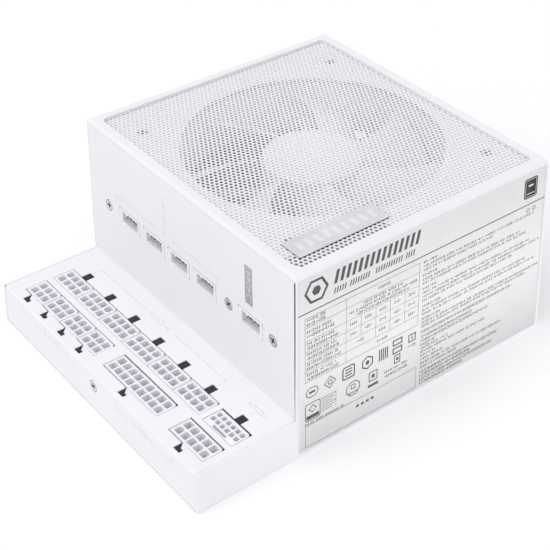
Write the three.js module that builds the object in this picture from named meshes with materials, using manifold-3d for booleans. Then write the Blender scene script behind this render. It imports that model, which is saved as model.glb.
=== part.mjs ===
// Fully modular ATX power supply with an L-shaped side profile.
// Units are millimetres, +Z is up (the fan side), -Y is the connector ledge,
// +Y is the mains inlet face. The origin is on the underside, centred between
// the sides and between the ledge front and the rear panel.
import * as THREE from 'three';
import { mergeVertices } from 'three/addons/utils/BufferGeometryUtils.js';
import Module from 'manifold-3d';

// ------------------------------------------------------- shared dimensions
const WIDTH = 150;
const HEIGHT = 86;
const DEPTH = 182;
const LEDGE_DEPTH = 47;     // ledge front to step wall
const DECK_Z = 18.6;        // top of the connector ledge
const SHEET = 1.0;          // steel sheet
const GAP = 0.3;            // clearance round a socket

const HALF_WIDTH = WIDTH / 2;
const INNER_X = HALF_WIDTH - SHEET;
const FRONT_Y = -DEPTH / 2;           // ledge front face
const REAR_Y = DEPTH / 2;             // rear panel face
const STEP_Y = FRONT_Y + LEDGE_DEPTH; // step wall face

const SOCKET_Z = 6;         // top of the modular board, where sockets stand
const BOARD_T = 1.6;
const BOARD_Z = 8;          // underside of the main board
const TOP_Z = BOARD_Z + BOARD_T;      // component side of the main board

const FAN_Y = 23.6;         // fan centre
const FAN_SIZE = 120;
const FAN_THICK = 25;
const FAN_BORE = 57;        // radius
const FAN_TOP = HEIGHT - 3 * SHEET;   // under cover, mesh and bracket
const FAN_BOTTOM = FAN_TOP - FAN_THICK;

// ------------------------------------------------------------ solid helpers
const wasm = await Module();
wasm.setup();
const { Manifold, Mesh: SolidMesh } = wasm;

function asSolid(shape) {
  if (!shape.isBufferGeometry) return shape;
  const bare = shape.clone();
  bare.deleteAttribute('normal');
  bare.deleteAttribute('uv');
  const merged = mergeVertices(bare, 1e-4);
  return new Manifold(new SolidMesh({
    numProp: 3,
    vertProperties: new Float32Array(merged.attributes.position.array),
    triVerts: new Uint32Array(merged.index.array),
  }));
}
const join = (...parts) => parts.map(asSolid).reduce((a, b) => a.add(b));
const cut = (base, ...tools) => tools.map(asSolid).reduce((a, b) => a.subtract(b), asSolid(base));

function geometryOf(solid) {
  const mesh = solid.getMesh();
  const geometry = new THREE.BufferGeometry();
  geometry.setAttribute('position',
    new THREE.BufferAttribute(new Float32Array(mesh.vertProperties), 3));
  geometry.setIndex(new THREE.BufferAttribute(new Uint32Array(mesh.triVerts), 1));
  geometry.computeVertexNormals();
  return geometry;
}

// ----------------------------------------------------------------- outlines
const LOW_CORNERS = [0, 0, 1, 1];
const HIGH_CORNERS = [1, 1, 0, 0];
const ALL_CORNERS = [1, 1, 1, 1];

function arc(x, y, radius, start, end, steps = 3) {
  return Array.from({ length: steps + 1 }, (_, i) => {
    const angle = start + ((end - start) * i) / steps;
    return [x + radius * Math.cos(angle), y + radius * Math.sin(angle)];
  });
}

function ring(x, y, radius, sides) {
  return Array.from({ length: sides }, (_, i) => {
    const angle = (2 * Math.PI * i) / sides;
    return [x + radius * Math.cos(angle), y + radius * Math.sin(angle)];
  });
}

function roundRect(xMin, xMax, yMin, yMax, radius, steps = 3) {
  const centres = [
    [xMax - radius, yMax - radius], [xMin + radius, yMax - radius],
    [xMin + radius, yMin + radius], [xMax - radius, yMin + radius],
  ];
  return centres.flatMap(([x, y], i) =>
    arc(x, y, radius, (i * Math.PI) / 2, ((i + 1) * Math.PI) / 2, steps));
}

// Corners are flagged in the order +x+y, -x+y, -x-y, +x-y.
function chamferRect(xMin, xMax, yMin, yMax, chamfer, corners = ALL_CORNERS) {
  const [first, second, third, fourth] = corners.map((flag) => flag * chamfer);
  const outline = [
    [xMax, yMax - first], [xMax - first, yMax],
    [xMin + second, yMax], [xMin, yMax - second],
    [xMin, yMin + third], [xMin + third, yMin],
    [xMax - fourth, yMin], [xMax, yMin + fourth],
  ];
  // a square corner needs only the first of its two points
  return outline.filter((_, i) => i % 2 === 0 || corners[(i - 1) / 2]);
}
const chamferAt = ([x, y], halfX, halfY, chamfer, corners) =>
  chamferRect(x - halfX, x + halfX, y - halfY, y + halfY, chamfer, corners);

// ------------------------------------------------------------- basic bodies
function box(xMin, xMax, yMin, yMax, zMin, zMax) {
  return new THREE.BoxGeometry(xMax - xMin, yMax - yMin, zMax - zMin)
    .translate((xMin + xMax) / 2, (yMin + yMax) / 2, (zMin + zMax) / 2);
}
// Boxes centred on a point in plan, or on a point seen along y.
const planBox = (x, y, halfX, halfY, zMin, zMax) =>
  box(x - halfX, x + halfX, y - halfY, y + halfY, zMin, zMax);
const faceBox = (x, z, halfX, halfZ, yMin, yMax) =>
  box(x - halfX, x + halfX, yMin, yMax, z - halfZ, z + halfZ);

// Directions of the outline's two axes and of its extrusion. The outline is
// (y, z) along x, (x, z) along y and (x, y) along z.
const PRISM_BASIS = {
  x: [[0, 1, 0], [0, 0, 1], [1, 0, 0]],
  y: [[1, 0, 0], [0, 0, 1], [0, -1, 0]],
  z: [[1, 0, 0], [0, 1, 0], [0, 0, 1]],
};
const shapeOf = (outline) => new THREE.Shape(outline.map((point) => new THREE.Vector2(...point)));

function prism(outline, axis, from, to) {
  const basis = PRISM_BASIS[axis].map((direction) => new THREE.Vector3(...direction));
  const origin = { x: [from, 0, 0], y: [0, to, 0], z: [0, 0, from] }[axis];
  return new THREE.ExtrudeGeometry(shapeOf(outline),
    { depth: to - from, bevelEnabled: false, steps: 1 })
    .applyMatrix4(new THREE.Matrix4().makeBasis(...basis))
    .translate(...origin);
}
// The centre is given in the outline's two coordinates.
const rod = (axis, across, up, radius, from, to, sides) =>
  prism(ring(across, up, radius, sides), axis, from, to);

// A cone along y, wide at y = face and narrow at y = face + depth.
const coneFrom = (x, z, face, wide, narrow, depth) =>
  new THREE.CylinderGeometry(narrow, wide, depth, 10).translate(x, face + depth / 2, z);

// A revolved body on the main board; the profile is (radius, height above board).
function turnedOnBoard(profile, segments, x, y) {
  return new THREE.LatheGeometry(profile.map((point) => new THREE.Vector2(...point)), segments)
    .rotateX(Math.PI / 2)
    .translate(x, y, TOP_Z);
}

// Evenly spaced positions about a centre.
const spread = (centre, count, pitch) =>
  Array.from({ length: count }, (_, i) => centre + pitch * (i - (count - 1) / 2));

// ----------------------------------------------------------------- finishes
const FINISH = {
  coat:      { color: 0xf0f0f2, roughness: 0.55, metalness: 0.0 },
  plastic:   { color: 0xeeeef1, roughness: 0.45, metalness: 0.0 },
  fan:       { color: 0xf2f2f4, roughness: 0.4, metalness: 0.0 },
  label:     { color: 0xe6e6e6, roughness: 0.6, metalness: 0.0 },
  badge:     { color: 0xdfe2e2, roughness: 0.35, metalness: 0.4 },
  screw:     { color: 0xb4b4b8, roughness: 0.35, metalness: 0.8 },
  board:     { color: 0x1c3a2a, roughness: 0.5, metalness: 0.0 },
  black:     { color: 0x1a1a1c, roughness: 0.4, metalness: 0.0 },
  copper:    { color: 0xb9774a, roughness: 0.35, metalness: 0.9 },
  aluminium: { color: 0xc4c6c8, roughness: 0.4, metalness: 0.9 },
  ferrite:   { color: 0x33343a, roughness: 0.6, metalness: 0.1 },
  yellow:    { color: 0xd9b23c, roughness: 0.5, metalness: 0.0 },
  film:      { color: 0xe8e6dc, roughness: 0.5, metalness: 0.0 },
  brass:     { color: 0xb5924c, roughness: 0.35, metalness: 0.9 },
};
const psu = new THREE.Group();

function add(name, shape, finish) {
  const material = new THREE.MeshStandardMaterial({ ...FINISH[finish], flatShading: true });
  const mesh = new THREE.Mesh(geometryOf(asSolid(shape)), material);
  mesh.name = name;
  psu.add(mesh);
}
// One piece per place, numbered from 1 when there are several.
function addEach(name, places, build, finish) {
  places.forEach((place, i) =>
    add(places.length > 1 ? `${name}_${i + 1}` : name, build(place), finish));
}

// --------------------------------------------------------------- base shell
const INLET = [42, 28];               // mains inlet centre (x, z)
const INLET_HALF = [13.3, 9.7];       // half size of its body
const SWITCH = [10, 28];              // rocker switch centre (x, z)
const SWITCH_HALF = [6.5, 9.6];
const MAIN_POSTS = [[-64, -32], [64, -32], [-64, 80], [64, 80]];    // x, y
const MODULAR_POSTS = [[-69, -87], [69, -87], [-69, -46], [69, -46]];
const REAR_HOLES = [[-69, 16], [-69, 80], [45, 6.35], [69, 80]];    // x, z
const LEDGE_SCREW = [0.6, 11.8];      // x, z
const HEX_COLUMN = 0.866;             // column spacing of a hexagonal grid, in pitches
const VENT = { pitch: 17, radius: 8, x: -55, z: 16, columns: 9, rows: 4, zLimit: 72 };

// A full-width upright sheet with its two top corners chamfered.
const uprightSheet = (yMin, zMin) => prism(
  chamferRect(-INNER_X, INNER_X, zMin, HEIGHT - SHEET, 0.8, HIGH_CORNERS),
  'y', yMin, yMin + SHEET);

// Hexagonal vents in staggered columns, left out round the inlet and switch.
function rearVents() {
  const vents = [];
  for (let i = 0; i < VENT.columns; i++) {
    for (let j = 0; j < VENT.rows; j++) {
      const x = VENT.x + i * VENT.pitch * HEX_COLUMN;
      const z = VENT.z + j * VENT.pitch + (i % 2 ? VENT.pitch / 2 : 0);
      const nearInlet = Math.abs(x - INLET[0]) < 26 && z < INLET[1] + 22;
      const nearSwitch = Math.abs(x - SWITCH[0]) < 17 && z < SWITCH[1] + 21;
      if (z > VENT.zLimit || nearInlet || nearSwitch) continue;
      vents.push(rod('y', x, z, VENT.radius, REAR_Y - 2, REAR_Y + 1, 6));
    }
  }
  return vents;
}

// Floor, rear panel, upturned flange behind the ledge front, and board posts.
function baseShell() {
  const body = join(
    box(-INNER_X, INNER_X, FRONT_Y, REAR_Y, 0, SHEET),
    uprightSheet(REAR_Y - SHEET, 0),
    box(-60, 60, FRONT_Y + SHEET, FRONT_Y + 2 * SHEET, 0.5, 15.5),
    ...MAIN_POSTS.map(([x, y]) => rod('z', x, y, 3, 0.5, BOARD_Z, 8)),
    ...MODULAR_POSTS.map(([x, y]) => rod('z', x, y, 2, 0.5, SOCKET_Z - BOARD_T, 8)),
  );
  const [inletX, inletZ] = INLET_HALF.map((half) => half + GAP);
  const [switchX, switchZ] = SWITCH_HALF.map((half) => half + GAP);
  return cut(body,
    prism(chamferAt(INLET, inletX, inletZ, 3, LOW_CORNERS), 'y', REAR_Y - 2, REAR_Y + 1),
    faceBox(...SWITCH, switchX, switchZ, REAR_Y - 2, REAR_Y + 1),
    ...REAR_HOLES.map(([x, z]) => rod('y', x, z, 1.75, REAR_Y - 2, REAR_Y + 1, 8)),
    ...rearVents(),
    rod('y', ...LEDGE_SCREW, 1.7, FRONT_Y - 1, FRONT_Y + 3, 10));
}
add('base_shell', baseShell(), 'coat');

// ---------------------------------------------------------- cover and label
const BEND = 1.6;                     // outer radius of the top bends
const LABEL_T = 0.2;                  // rating label film
const OPENING = { x: 70.4, yMin: -39.2, yMax: 85.8, radius: 3 }; // x is half the width

// The label's outline on the +X side, from its recess floor out to xMax.
const labelBox = (xMax) =>
  box(HALF_WIDTH - LABEL_T, xMax, STEP_Y + 1.2, REAR_Y - 1.2, 1.5, HEIGHT - 2);

// Top with the intake opening and two L-shaped sides, rounded along the bends.
function topCover() {
  const bendX = HALF_WIDTH - BEND;
  const bendZ = HEIGHT - BEND;
  const outline = [ // x, z
    [-HALF_WIDTH, 0], [-INNER_X, 0],
    ...arc(-bendX, bendZ, BEND - SHEET, Math.PI, Math.PI / 2, 2),
    ...arc(bendX, bendZ, BEND - SHEET, Math.PI / 2, 0, 2),
    [INNER_X, 0], [HALF_WIDTH, 0],
    ...arc(bendX, bendZ, BEND, 0, Math.PI / 2),
    ...arc(-bendX, bendZ, BEND, Math.PI / 2, Math.PI),
  ];
  const body = join(
    prism(outline, 'y', STEP_Y, REAR_Y),
    box(-HALF_WIDTH, -INNER_X, FRONT_Y, STEP_Y + 5, 0, DECK_Z),
    box(INNER_X, HALF_WIDTH, FRONT_Y, STEP_Y + 5, 0, DECK_Z),
  );
  const opening = roundRect(-OPENING.x, OPENING.x, OPENING.yMin, OPENING.yMax, OPENING.radius);
  return cut(body, prism(opening, 'z', HEIGHT - 3, HEIGHT + 1), labelBox(HALF_WIDTH + 1));
}
add('top_cover', topCover(), 'coat');
add('side_label', labelBox(HALF_WIDTH), 'label');

// ----------------------------------------------------- power socket layout
// Contact grids: well is a side of one opening, margin is what the body
// width adds to its columns.
const STANDARD = { pitch: 4.2, well: 3.4, depth: 9.8, margin: 1.2 };
const FINE = { pitch: 3, well: 2.2, depth: 8, margin: 0.9 };

// Rows: latch is the side of the latch in y, notch its y range in the deck.
const REAR_ROW = { y: FRONT_Y + 24.9, latch: 1, notch: [FRONT_Y + 27.9, FRONT_Y + 34.5] };
const FRONT_ROW = { y: FRONT_Y + 11.4, latch: -1, notch: [FRONT_Y + 1.9, FRONT_Y + 8.4] };

// Wells by row, -Y row first: s is square, d has two corners cut away.
const BANKS = [
  { name: 'socket_8pin', row: REAR_ROW, places: spread(66 - HALF_WIDTH, 6, 19.05),
    wells: ['sdds', 'dssd'] },
  { name: 'socket_6pin', row: FRONT_ROW, places: spread(37.95 - HALF_WIDTH, 4, 14.55),
    wells: ['dss', 'sdd'] },
  { name: 'socket_18pin', row: FRONT_ROW, places: [93.7 - HALF_WIDTH],
    wells: ['dssddssdd', 'sddssddss'] },
  { name: 'socket_10pin', row: FRONT_ROW, places: [133.7 - HALF_WIDTH],
    wells: ['dssdd', 'sddss'] },
];
const HIGH_POWER = { x: 135.45 - HALF_WIDTH, y: FRONT_Y + 24.3, halfY: 4.6,
  wells: ['ssssss', 'ssssss'] };
const halfWidthOf = (wells, grid) => (wells[0].length * grid.pitch + grid.margin) / 2;
const HIGH_POWER_HALF_X = halfWidthOf(HIGH_POWER.wells, FINE);

// ---------------------------------------------------------- connector panel
const HEADER_Z = 48.4;                // centre height of the data headers
const HEADER_HALF_X = 8;
const HEADER_HALF_Z = 4;
const HEADER_D = 10;
const HEADER_X = [32, 51.05, 70.1, 89.15, 120.5].map((x) => x - HALF_WIDTH);
const WALL_SCREWS = [15.2, 106, 135.5].map((x) => [x - HALF_WIDTH, 48.8]); // x, z

const deckHole = (xMin, xMax, yMin, yMax) => box(xMin, xMax, yMin, yMax, DECK_Z - 3, DECK_Z + 1);

// One opening for a whole bank, and a latch notch for each of its sockets.
function bankHoles({ row, places, wells }) {
  const reachX = halfWidthOf(wells, STANDARD) + GAP;
  const reachY = STANDARD.depth / 2 + GAP;
  return [
    deckHole(places[0] - reachX, places.at(-1) + reachX, row.y - reachY, row.y + reachY),
    ...places.map((x) => deckHole(x - 2, x + 2, ...row.notch)),
  ];
}
function highPowerHoles() {
  const { x, y, halfY } = HIGH_POWER;
  const reachX = HIGH_POWER_HALF_X + GAP;
  return [
    deckHole(x - reachX, x + reachX, y - halfY - GAP, y + halfY + GAP),
    deckHole(x - 2.1, x + 2.1, y + 3, FRONT_Y + 33.6),
  ];
}
const countersink = (x, z, face) => coneFrom(x, z, face - 0.01, 2.8, 1.7, SHEET + 0.02);

// One folded sheet: ledge front, deck and step wall.
function connectorPanel() {
  const sheet = join(
    box(-INNER_X, INNER_X, FRONT_Y, FRONT_Y + SHEET, SHEET, DECK_Z),
    box(-INNER_X, INNER_X, FRONT_Y, STEP_Y + SHEET, DECK_Z - SHEET, DECK_Z),
    uprightSheet(STEP_Y, DECK_Z - SHEET),
  );
  return cut(sheet,
    ...BANKS.flatMap(bankHoles),
    ...highPowerHoles(),
    ...HEADER_X.map((x) => faceBox(x, HEADER_Z, HEADER_HALF_X + GAP, HEADER_HALF_Z + GAP,
      STEP_Y - 1, STEP_Y + 3)),
    ...WALL_SCREWS.map(([x, z]) => countersink(x, z, STEP_Y)),
    countersink(...LEDGE_SCREW, FRONT_Y));
}
add('connector_panel', connectorPanel(), 'coat');

// Countersunk screw: head in the sheet, shank behind it.
const flatScrew = (x, z, face, length) => join(
  coneFrom(x, z, face, 2.5, 1.4, 0.95),
  rod('y', x, z, 1.4, face + 0.4, face + length, 10));
addEach('wall_screw', WALL_SCREWS, ([x, z]) => flatScrew(x, z, STEP_Y, 8), 'screw');
add('ledge_screw', flatScrew(...LEDGE_SCREW, FRONT_Y, 5), 'screw');

// ------------------------------------------------------------ power sockets
const RAMP = { halfX: 1.3, halfY: 1.05, overlap: 0.5 }; // latch ramp; overlap into the body

// Cut well corners face away from the latch.
function socket(x, y, latch, wells, grid) {
  const { pitch, well, depth } = grid;
  const rampY = y + latch * (depth / 2 - RAMP.overlap + RAMP.halfY);
  const body = join(
    planBox(x, y, halfWidthOf(wells, grid), depth / 2, SOCKET_Z, DECK_Z),
    planBox(x, rampY, RAMP.halfX, RAMP.halfY, DECK_Z - 4.5, DECK_Z - 1.5),
  );
  const corners = latch > 0 ? LOW_CORNERS : HIGH_CORNERS;
  const holes = wells.flatMap((row, j) => {
    const wellY = y + (j - 0.5) * pitch;
    return spread(x, row.length, pitch).map((wellX, i) => (row[i] === 'd'
      ? prism(chamferAt([wellX, wellY], well / 2, well / 2, well * 0.28, corners),
        'z', DECK_Z - 9, DECK_Z + 1)
      : planBox(wellX, wellY, well / 2, well / 2, DECK_Z - 9, DECK_Z + 1)));
  });
  return cut(body, ...holes);
}
for (const { name, row, places, wells } of BANKS) {
  addEach(name, places, (x) => socket(x, row.y, row.latch, wells, STANDARD), 'plastic');
}

// 12-contact high-power socket with its four-contact sense slot on the -Y side.
function highPowerSocket() {
  const { x, y, halfY, wells } = HIGH_POWER;
  const body = join(
    socket(x, y + halfY - FINE.depth / 2, 1, wells, FINE),
    box(x - HIGH_POWER_HALF_X, x + HIGH_POWER_HALF_X, y - halfY, y - 3.2, SOCKET_Z, DECK_Z));
  return cut(body, box(x - 4.2, x + 4.2, y - 4.05, y - 2.85, DECK_Z - 7, DECK_Z + 1));
}
add('socket_12v_2x6', highPowerSocket(), 'plastic');

// ------------------------------------------------------------- data headers
function dataHeader(x) {
  const zMin = HEADER_Z - HEADER_HALF_Z;
  const zMax = HEADER_Z + HEADER_HALF_Z;
  const body = cut(
    faceBox(x, HEADER_Z, HEADER_HALF_X, HEADER_HALF_Z, STEP_Y, STEP_Y + HEADER_D),
    box(x - 6, x + 6, STEP_Y - 1, STEP_Y + 7, zMin + 1.4, zMax - 1.2),
    box(x - 3.2, x + 1.4, STEP_Y - 1, STEP_Y + 7, zMax - 1.5, zMax + 1));
  const pins = spread(x, 4, 2.54)
    .map((pinX) => faceBox(pinX, HEADER_Z + 0.22, 0.32, 0.32, STEP_Y + 1.6, STEP_Y + 7.5));
  return join(body, ...pins);
}
addEach('data_header', HEADER_X, dataHeader, 'plastic');

// -------------------------------------------------------------- intake mesh
const MESH = { pitch: 27, radius: 13.4, y: FAN_Y - 0.3, border: 8 };

function fanGrille() {
  const edge = INNER_X - 0.6;
  const plate = box(-edge, edge, STEP_Y + SHEET, REAR_Y - SHEET,
    HEIGHT - 2 * SHEET, HEIGHT - SHEET);
  const holes = [];
  for (let i = -2; i <= 2; i++) {
    for (let j = -2; j <= 2; j++) {
      const x = i * MESH.pitch * HEX_COLUMN;
      const y = MESH.y + j * MESH.pitch + (i % 2 ? MESH.pitch / 2 : 0);
      if (y > OPENING.yMax - MESH.border || y < OPENING.yMin + MESH.border) continue;
      holes.push(rod('z', x, y, MESH.radius, HEIGHT - 4, HEIGHT + 1, 6));
    }
  }
  return cut(plate, ...holes);
}
add('fan_grille', fanGrille(), 'coat');
add('grille_badge',
  prism(roundRect(52.2, 64.4, -33.4, 12.8, 0.9, 2), 'z', HEIGHT - SHEET, HEIGHT), 'badge');

// ----------------------------------------------------------- fan, still parts
const FAN_HOLES = 105;                // screw hole spacing
const SEAT_Z = FAN_TOP - 1.6;         // underside of the screw heads
const STRUT_TOP = FAN_BOTTOM + 2.4;
const FAN_SCREWS = [[-1, -1], [1, -1], [1, 1], [-1, 1]]
  .map(([x, y]) => [(x * FAN_HOLES) / 2, FAN_Y + (y * FAN_HOLES) / 2]);

const fanDisc = (radius, zMin, zMax, sides) => rod('z', 0, FAN_Y, radius, zMin, zMax, sides);
const screwDiscs = (radius, zMin, zMax, sides) =>
  FAN_SCREWS.map(([x, y]) => rod('z', x, y, radius, zMin, zMax, sides));
const turnAboutFan = (shape, angle) => shape.rotateZ(angle).translate(0, FAN_Y, 0);

// Plate under the mesh with a round intake and a dimple for each screw head.
function fanBracket() {
  const plate = cut(
    box(-64.5, 64.5, STEP_Y + SHEET, REAR_Y - SHEET, FAN_TOP, FAN_TOP + SHEET),
    fanDisc(FAN_BORE, FAN_TOP - 1, FAN_TOP + 2, 32));
  return cut(join(plate, ...screwDiscs(4.9, FAN_TOP - 2.4, FAN_TOP + 0.5, 10)),
    ...screwDiscs(4.1, SEAT_Z, FAN_TOP + 2, 10),
    ...screwDiscs(2.3, FAN_TOP - 4, FAN_TOP + 2, 8));
}
const fanScrew = ([x, y]) => join(
  rod('z', x, y, 3.7, SEAT_Z, FAN_TOP - 0.2, 10),
  rod('z', x, y, 1.9, FAN_TOP - 9, FAN_TOP - 1, 8));

// Square flanges, round duct, and four struts carrying the motor plate.
function fanFrame() {
  const half = FAN_SIZE / 2;
  const flange = (zMin, zMax) =>
    prism(roundRect(-half, half, FAN_Y - half, FAN_Y + half, 4, 1), 'z', zMin, zMax);
  const duct = cut(
    join(flange(FAN_BOTTOM, FAN_BOTTOM + 3.6), flange(FAN_TOP - 3.6, FAN_TOP),
      fanDisc(59.6, FAN_BOTTOM, FAN_TOP, 32)),
    fanDisc(FAN_BORE, FAN_BOTTOM - 1, FAN_TOP + 1, 32),
    ...screwDiscs(2.3, FAN_BOTTOM - 1, FAN_TOP + 1, 8),
    ...screwDiscs(5.3, FAN_TOP - 2.7, FAN_TOP + 1, 10));
  const struts = [0, 1, 2, 3].map((k) => turnAboutFan(
    box(20, 58, -2.2, 2.2, FAN_BOTTOM, STRUT_TOP), Math.PI / 4 + (k * Math.PI) / 2 + 0.16));
  return join(duct, fanDisc(22.6, FAN_BOTTOM, STRUT_TOP, 20), ...struts);
}
const fanBearing = () => cut(fanDisc(4, STRUT_TOP, 74, 12), fanDisc(1.9, FAN_BOTTOM, 76, 12));

function fanStator() {
  const core = cut(fanDisc(8, STRUT_TOP, 72, 20), fanDisc(4.4, FAN_BOTTOM, 75, 20));
  const teeth = [0, 1, 2, 3].map((k) => join(
    turnAboutFan(box(7, 15, -2.4, 2.4, 62.5, 71), (k * Math.PI) / 2),
    turnAboutFan(box(14.4, 17.6, -8.2, 8.2, 64, 69.5), (k * Math.PI) / 2)));
  return join(core, ...teeth).intersect(asSolid(fanDisc(18.6, 50, 80, 20)));
}
add('fan_bracket', fanBracket(), 'coat');
addEach('fan_screw', FAN_SCREWS, fanScrew, 'screw');
add('fan_frame', fanFrame(), 'fan');
add('fan_bearing', fanBearing(), 'brass');
add('fan_stator', fanStator(), 'copper');

// ---------------------------------------------------------------- fan rotor
const HUB = { radius: 22.4, bottom: 62, top: 78 };
const BLADE = {
  count: 7,
  root: HUB.radius - 0.8, // radii
  tip: 55.2,
  halfThick: 0.6,
  stations: 4,            // root to tip
  chord: 3,               // segments from trailing to leading edge
  firstLead: 82,          // degrees, leading edge of blade 0 at the root
  sweep: 17.5,            // degrees the leading edge gains towards the tip
  low: 63.2,              // z of the trailing edge
  rise: 13.4,             // from there up to the leading edge
  camber: 1.1,
};

// The leading edge is the high one, turned anticlockwise seen from above, so
// the fan draws air in through the mesh.
function bladePoint(k, i, j, side) {
  const span = i / BLADE.stations;
  const along = j / BLADE.chord;
  const radius = BLADE.root + span * (BLADE.tip - BLADE.root);
  const lead = BLADE.firstLead + (360 / BLADE.count) * k + BLADE.sweep * span ** 1.2;
  const wrap = 38 - 20 * span + 9 * span * span; // degrees covered by the chord
  const angle = THREE.MathUtils.degToRad(lead - wrap * (1 - along));
  const z = BLADE.low + BLADE.rise * along + 4 * BLADE.camber * along * (1 - along)
    + side * BLADE.halfThick;
  return [radius * Math.cos(angle), radius * Math.sin(angle), z];
}

function fanBlade(k) {
  const at = (i, j, side) => bladePoint(k, i, j, side);
  const { stations, chord } = BLADE;
  const points = [];
  const quad = (a, b, c, d) => points.push(...a, ...b, ...c, ...a, ...c, ...d);
  for (let i = 0; i < stations; i++) {
    for (let j = 0; j < chord; j++) {
      quad(at(i, j, 1), at(i + 1, j, 1), at(i + 1, j + 1, 1), at(i, j + 1, 1));
      quad(at(i, j, -1), at(i, j + 1, -1), at(i + 1, j + 1, -1), at(i + 1, j, -1));
    }
    // trailing and leading edges
    quad(at(i + 1, 0, 1), at(i, 0, 1), at(i, 0, -1), at(i + 1, 0, -1));
    quad(at(i, chord, 1), at(i + 1, chord, 1), at(i + 1, chord, -1), at(i, chord, -1));
  }
  for (let j = 0; j < chord; j++) {
    // root and tip ends
    quad(at(0, j, 1), at(0, j + 1, 1), at(0, j + 1, -1), at(0, j, -1));
    quad(at(stations, j + 1, 1), at(stations, j, 1),
      at(stations, j, -1), at(stations, j + 1, -1));
  }
  return new THREE.BufferGeometry()
    .setAttribute('position', new THREE.BufferAttribute(new Float32Array(points), 3));
}

// Hollow hub, shaft and blades, built about the z axis and moved to the fan centre.
function fanRotor() {
  const hub = join(
    cut(rod('z', 0, 0, HUB.radius, HUB.bottom, HUB.top, 24),
      rod('z', 0, 0, HUB.radius - 1.6, HUB.bottom - 1, HUB.top - 1.8, 24)),
    rod('z', 0, 0, 1.5, FAN_BOTTOM + 3.6, HUB.top - 1, 8));
  const blades = Array.from({ length: BLADE.count }, (_, k) => fanBlade(k));
  return geometryOf(join(hub, join(...blades))).translate(0, FAN_Y, 0);
}
add('fan_rotor', fanRotor(), 'fan');

// Cable down to a plug on the main board.
const CABLE_PATH = [[-61.4, 2, 60], [-61.8, 2, 50], [-62.5, 3, 36], [-61, 5, 24], [-60, 6, 15]];

function fanCable() {
  const points = CABLE_PATH.map((point) => new THREE.Vector3(...point));
  const cable = new THREE.ExtrudeGeometry(shapeOf(ring(0, 0, 1.3, 6)), {
    steps: 12,
    bevelEnabled: false,
    extrudePath: new THREE.CatmullRomCurve3(points, false, 'centripetal'),
  });
  return join(cable, box(-63, -57, 3.5, 8.5, TOP_Z, 16));
}
add('fan_cable', fanCable(), 'black');

// ---------------------------------------------------------- inlet and switch
const PIVOT_Y = REAR_Y - 1;           // rocker pivot line
const SWITCH_SWING = 20;              // degrees from off to on

function acInlet() {
  const [x, z] = INLET;
  const shell = cut(
    join(
      prism(chamferAt(INLET, 15.5, 12.2, 2), 'y', REAR_Y, REAR_Y + 2.4),
      prism(chamferAt(INLET, ...INLET_HALF, 3, LOW_CORNERS), 'y', REAR_Y - 18.5, REAR_Y + 0.5)),
    prism(chamferAt(INLET, 12.1, 8.3, 4.2, LOW_CORNERS), 'y', REAR_Y - 15.5, REAR_Y + 4));
  const blades = [[-7, -2], [7, -2], [0, 2]].map(([right, up]) =>
    faceBox(x + right, z + up, 1, 2, REAR_Y - 17, REAR_Y - 1.4));
  const tabs = [[-7, -1], [7, -1], [0, 1]].map(([right, up]) =>
    faceBox(x + right, z + up, 0.4, 3.1, REAR_Y - 26, REAR_Y - 18));
  return join(shell, ...blades, ...tabs);
}

function switchHousing() {
  const [x, z] = SWITCH;
  const shell = cut(
    join(
      prism(chamferAt(SWITCH, 7.6, 10.8, 1.2), 'y', REAR_Y, REAR_Y + 2),
      faceBox(x, z, ...SWITCH_HALF, REAR_Y - 14, REAR_Y + 0.5)),
    faceBox(x, z, 5.1, 8.9, REAR_Y - 9.5, REAR_Y + 4),
    rod('x', PIVOT_Y, z, 1.5, x - 5.9, x + 5.9, 12));
  const tabs = [-3.2, 3.2].map((right) =>
    faceBox(x + right, z, 0.4, 3, REAR_Y - 20, REAR_Y - 13));
  return join(shell, ...tabs);
}

// Drawn level, then leaned to its off position.
function rockerButton() {
  const outline = [ // y, z from the switch centre
    [REAR_Y + 4.1, -7.5], [REAR_Y + 2.4, 0], [REAR_Y + 4.1, 7.5], [REAR_Y + 0.2, 7.6],
    [REAR_Y - 4.6, 4.4], [REAR_Y - 4.6, -4.4], [REAR_Y + 0.2, -7.6],
  ];
  const level = join(prism(outline, 'x', -4.7, 4.7), rod('x', PIVOT_Y, 0, 1.1, -5.6, 5.6, 12));
  return geometryOf(level)
    .translate(0, -PIVOT_Y, 0)
    .rotateX(THREE.MathUtils.degToRad(-SWITCH_SWING / 2))
    .translate(SWITCH[0], PIVOT_Y, SWITCH[1]);
}
add('ac_inlet', acInlet(), 'black');
add('switch_housing', switchHousing(), 'black');
add('rocker_button', rockerButton(), 'black');

// ------------------------------------------------------------------- boards
const mainBoardBox = (zMin, zMax) => box(-70, 70, -38, 86, zMin, zMax);

const insulationSheet = () => cut(mainBoardBox(SHEET, SHEET + 0.5),
  ...MAIN_POSTS.map(([x, y]) => rod('z', x, y, 3.5, 0, 3, 8)));

// Upright board behind the data headers, with spacers round the wall screws.
function dataBoard() {
  const front = STEP_Y + HEADER_D;
  const back = front + BOARD_T;
  const screwRods = (radius, yMin, yMax) =>
    WALL_SCREWS.map(([x, z]) => rod('y', x, z, radius, yMin, yMax, 8));
  return cut(
    join(box(-64, 65, front, back, 38, 56), ...screwRods(3, STEP_Y + SHEET, front + 0.5)),
    ...screwRods(1.8, STEP_Y - 1, back + 1));
}
add('insulation_sheet', insulationSheet(), 'film');
add('main_board', mainBoardBox(BOARD_Z, TOP_Z), 'board');
add('modular_board', box(-72, 72, FRONT_Y + 2.4, STEP_Y + 3, SOCKET_Z - BOARD_T, SOCKET_Z),
  'board');
add('data_board', dataBoard(), 'board');

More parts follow.
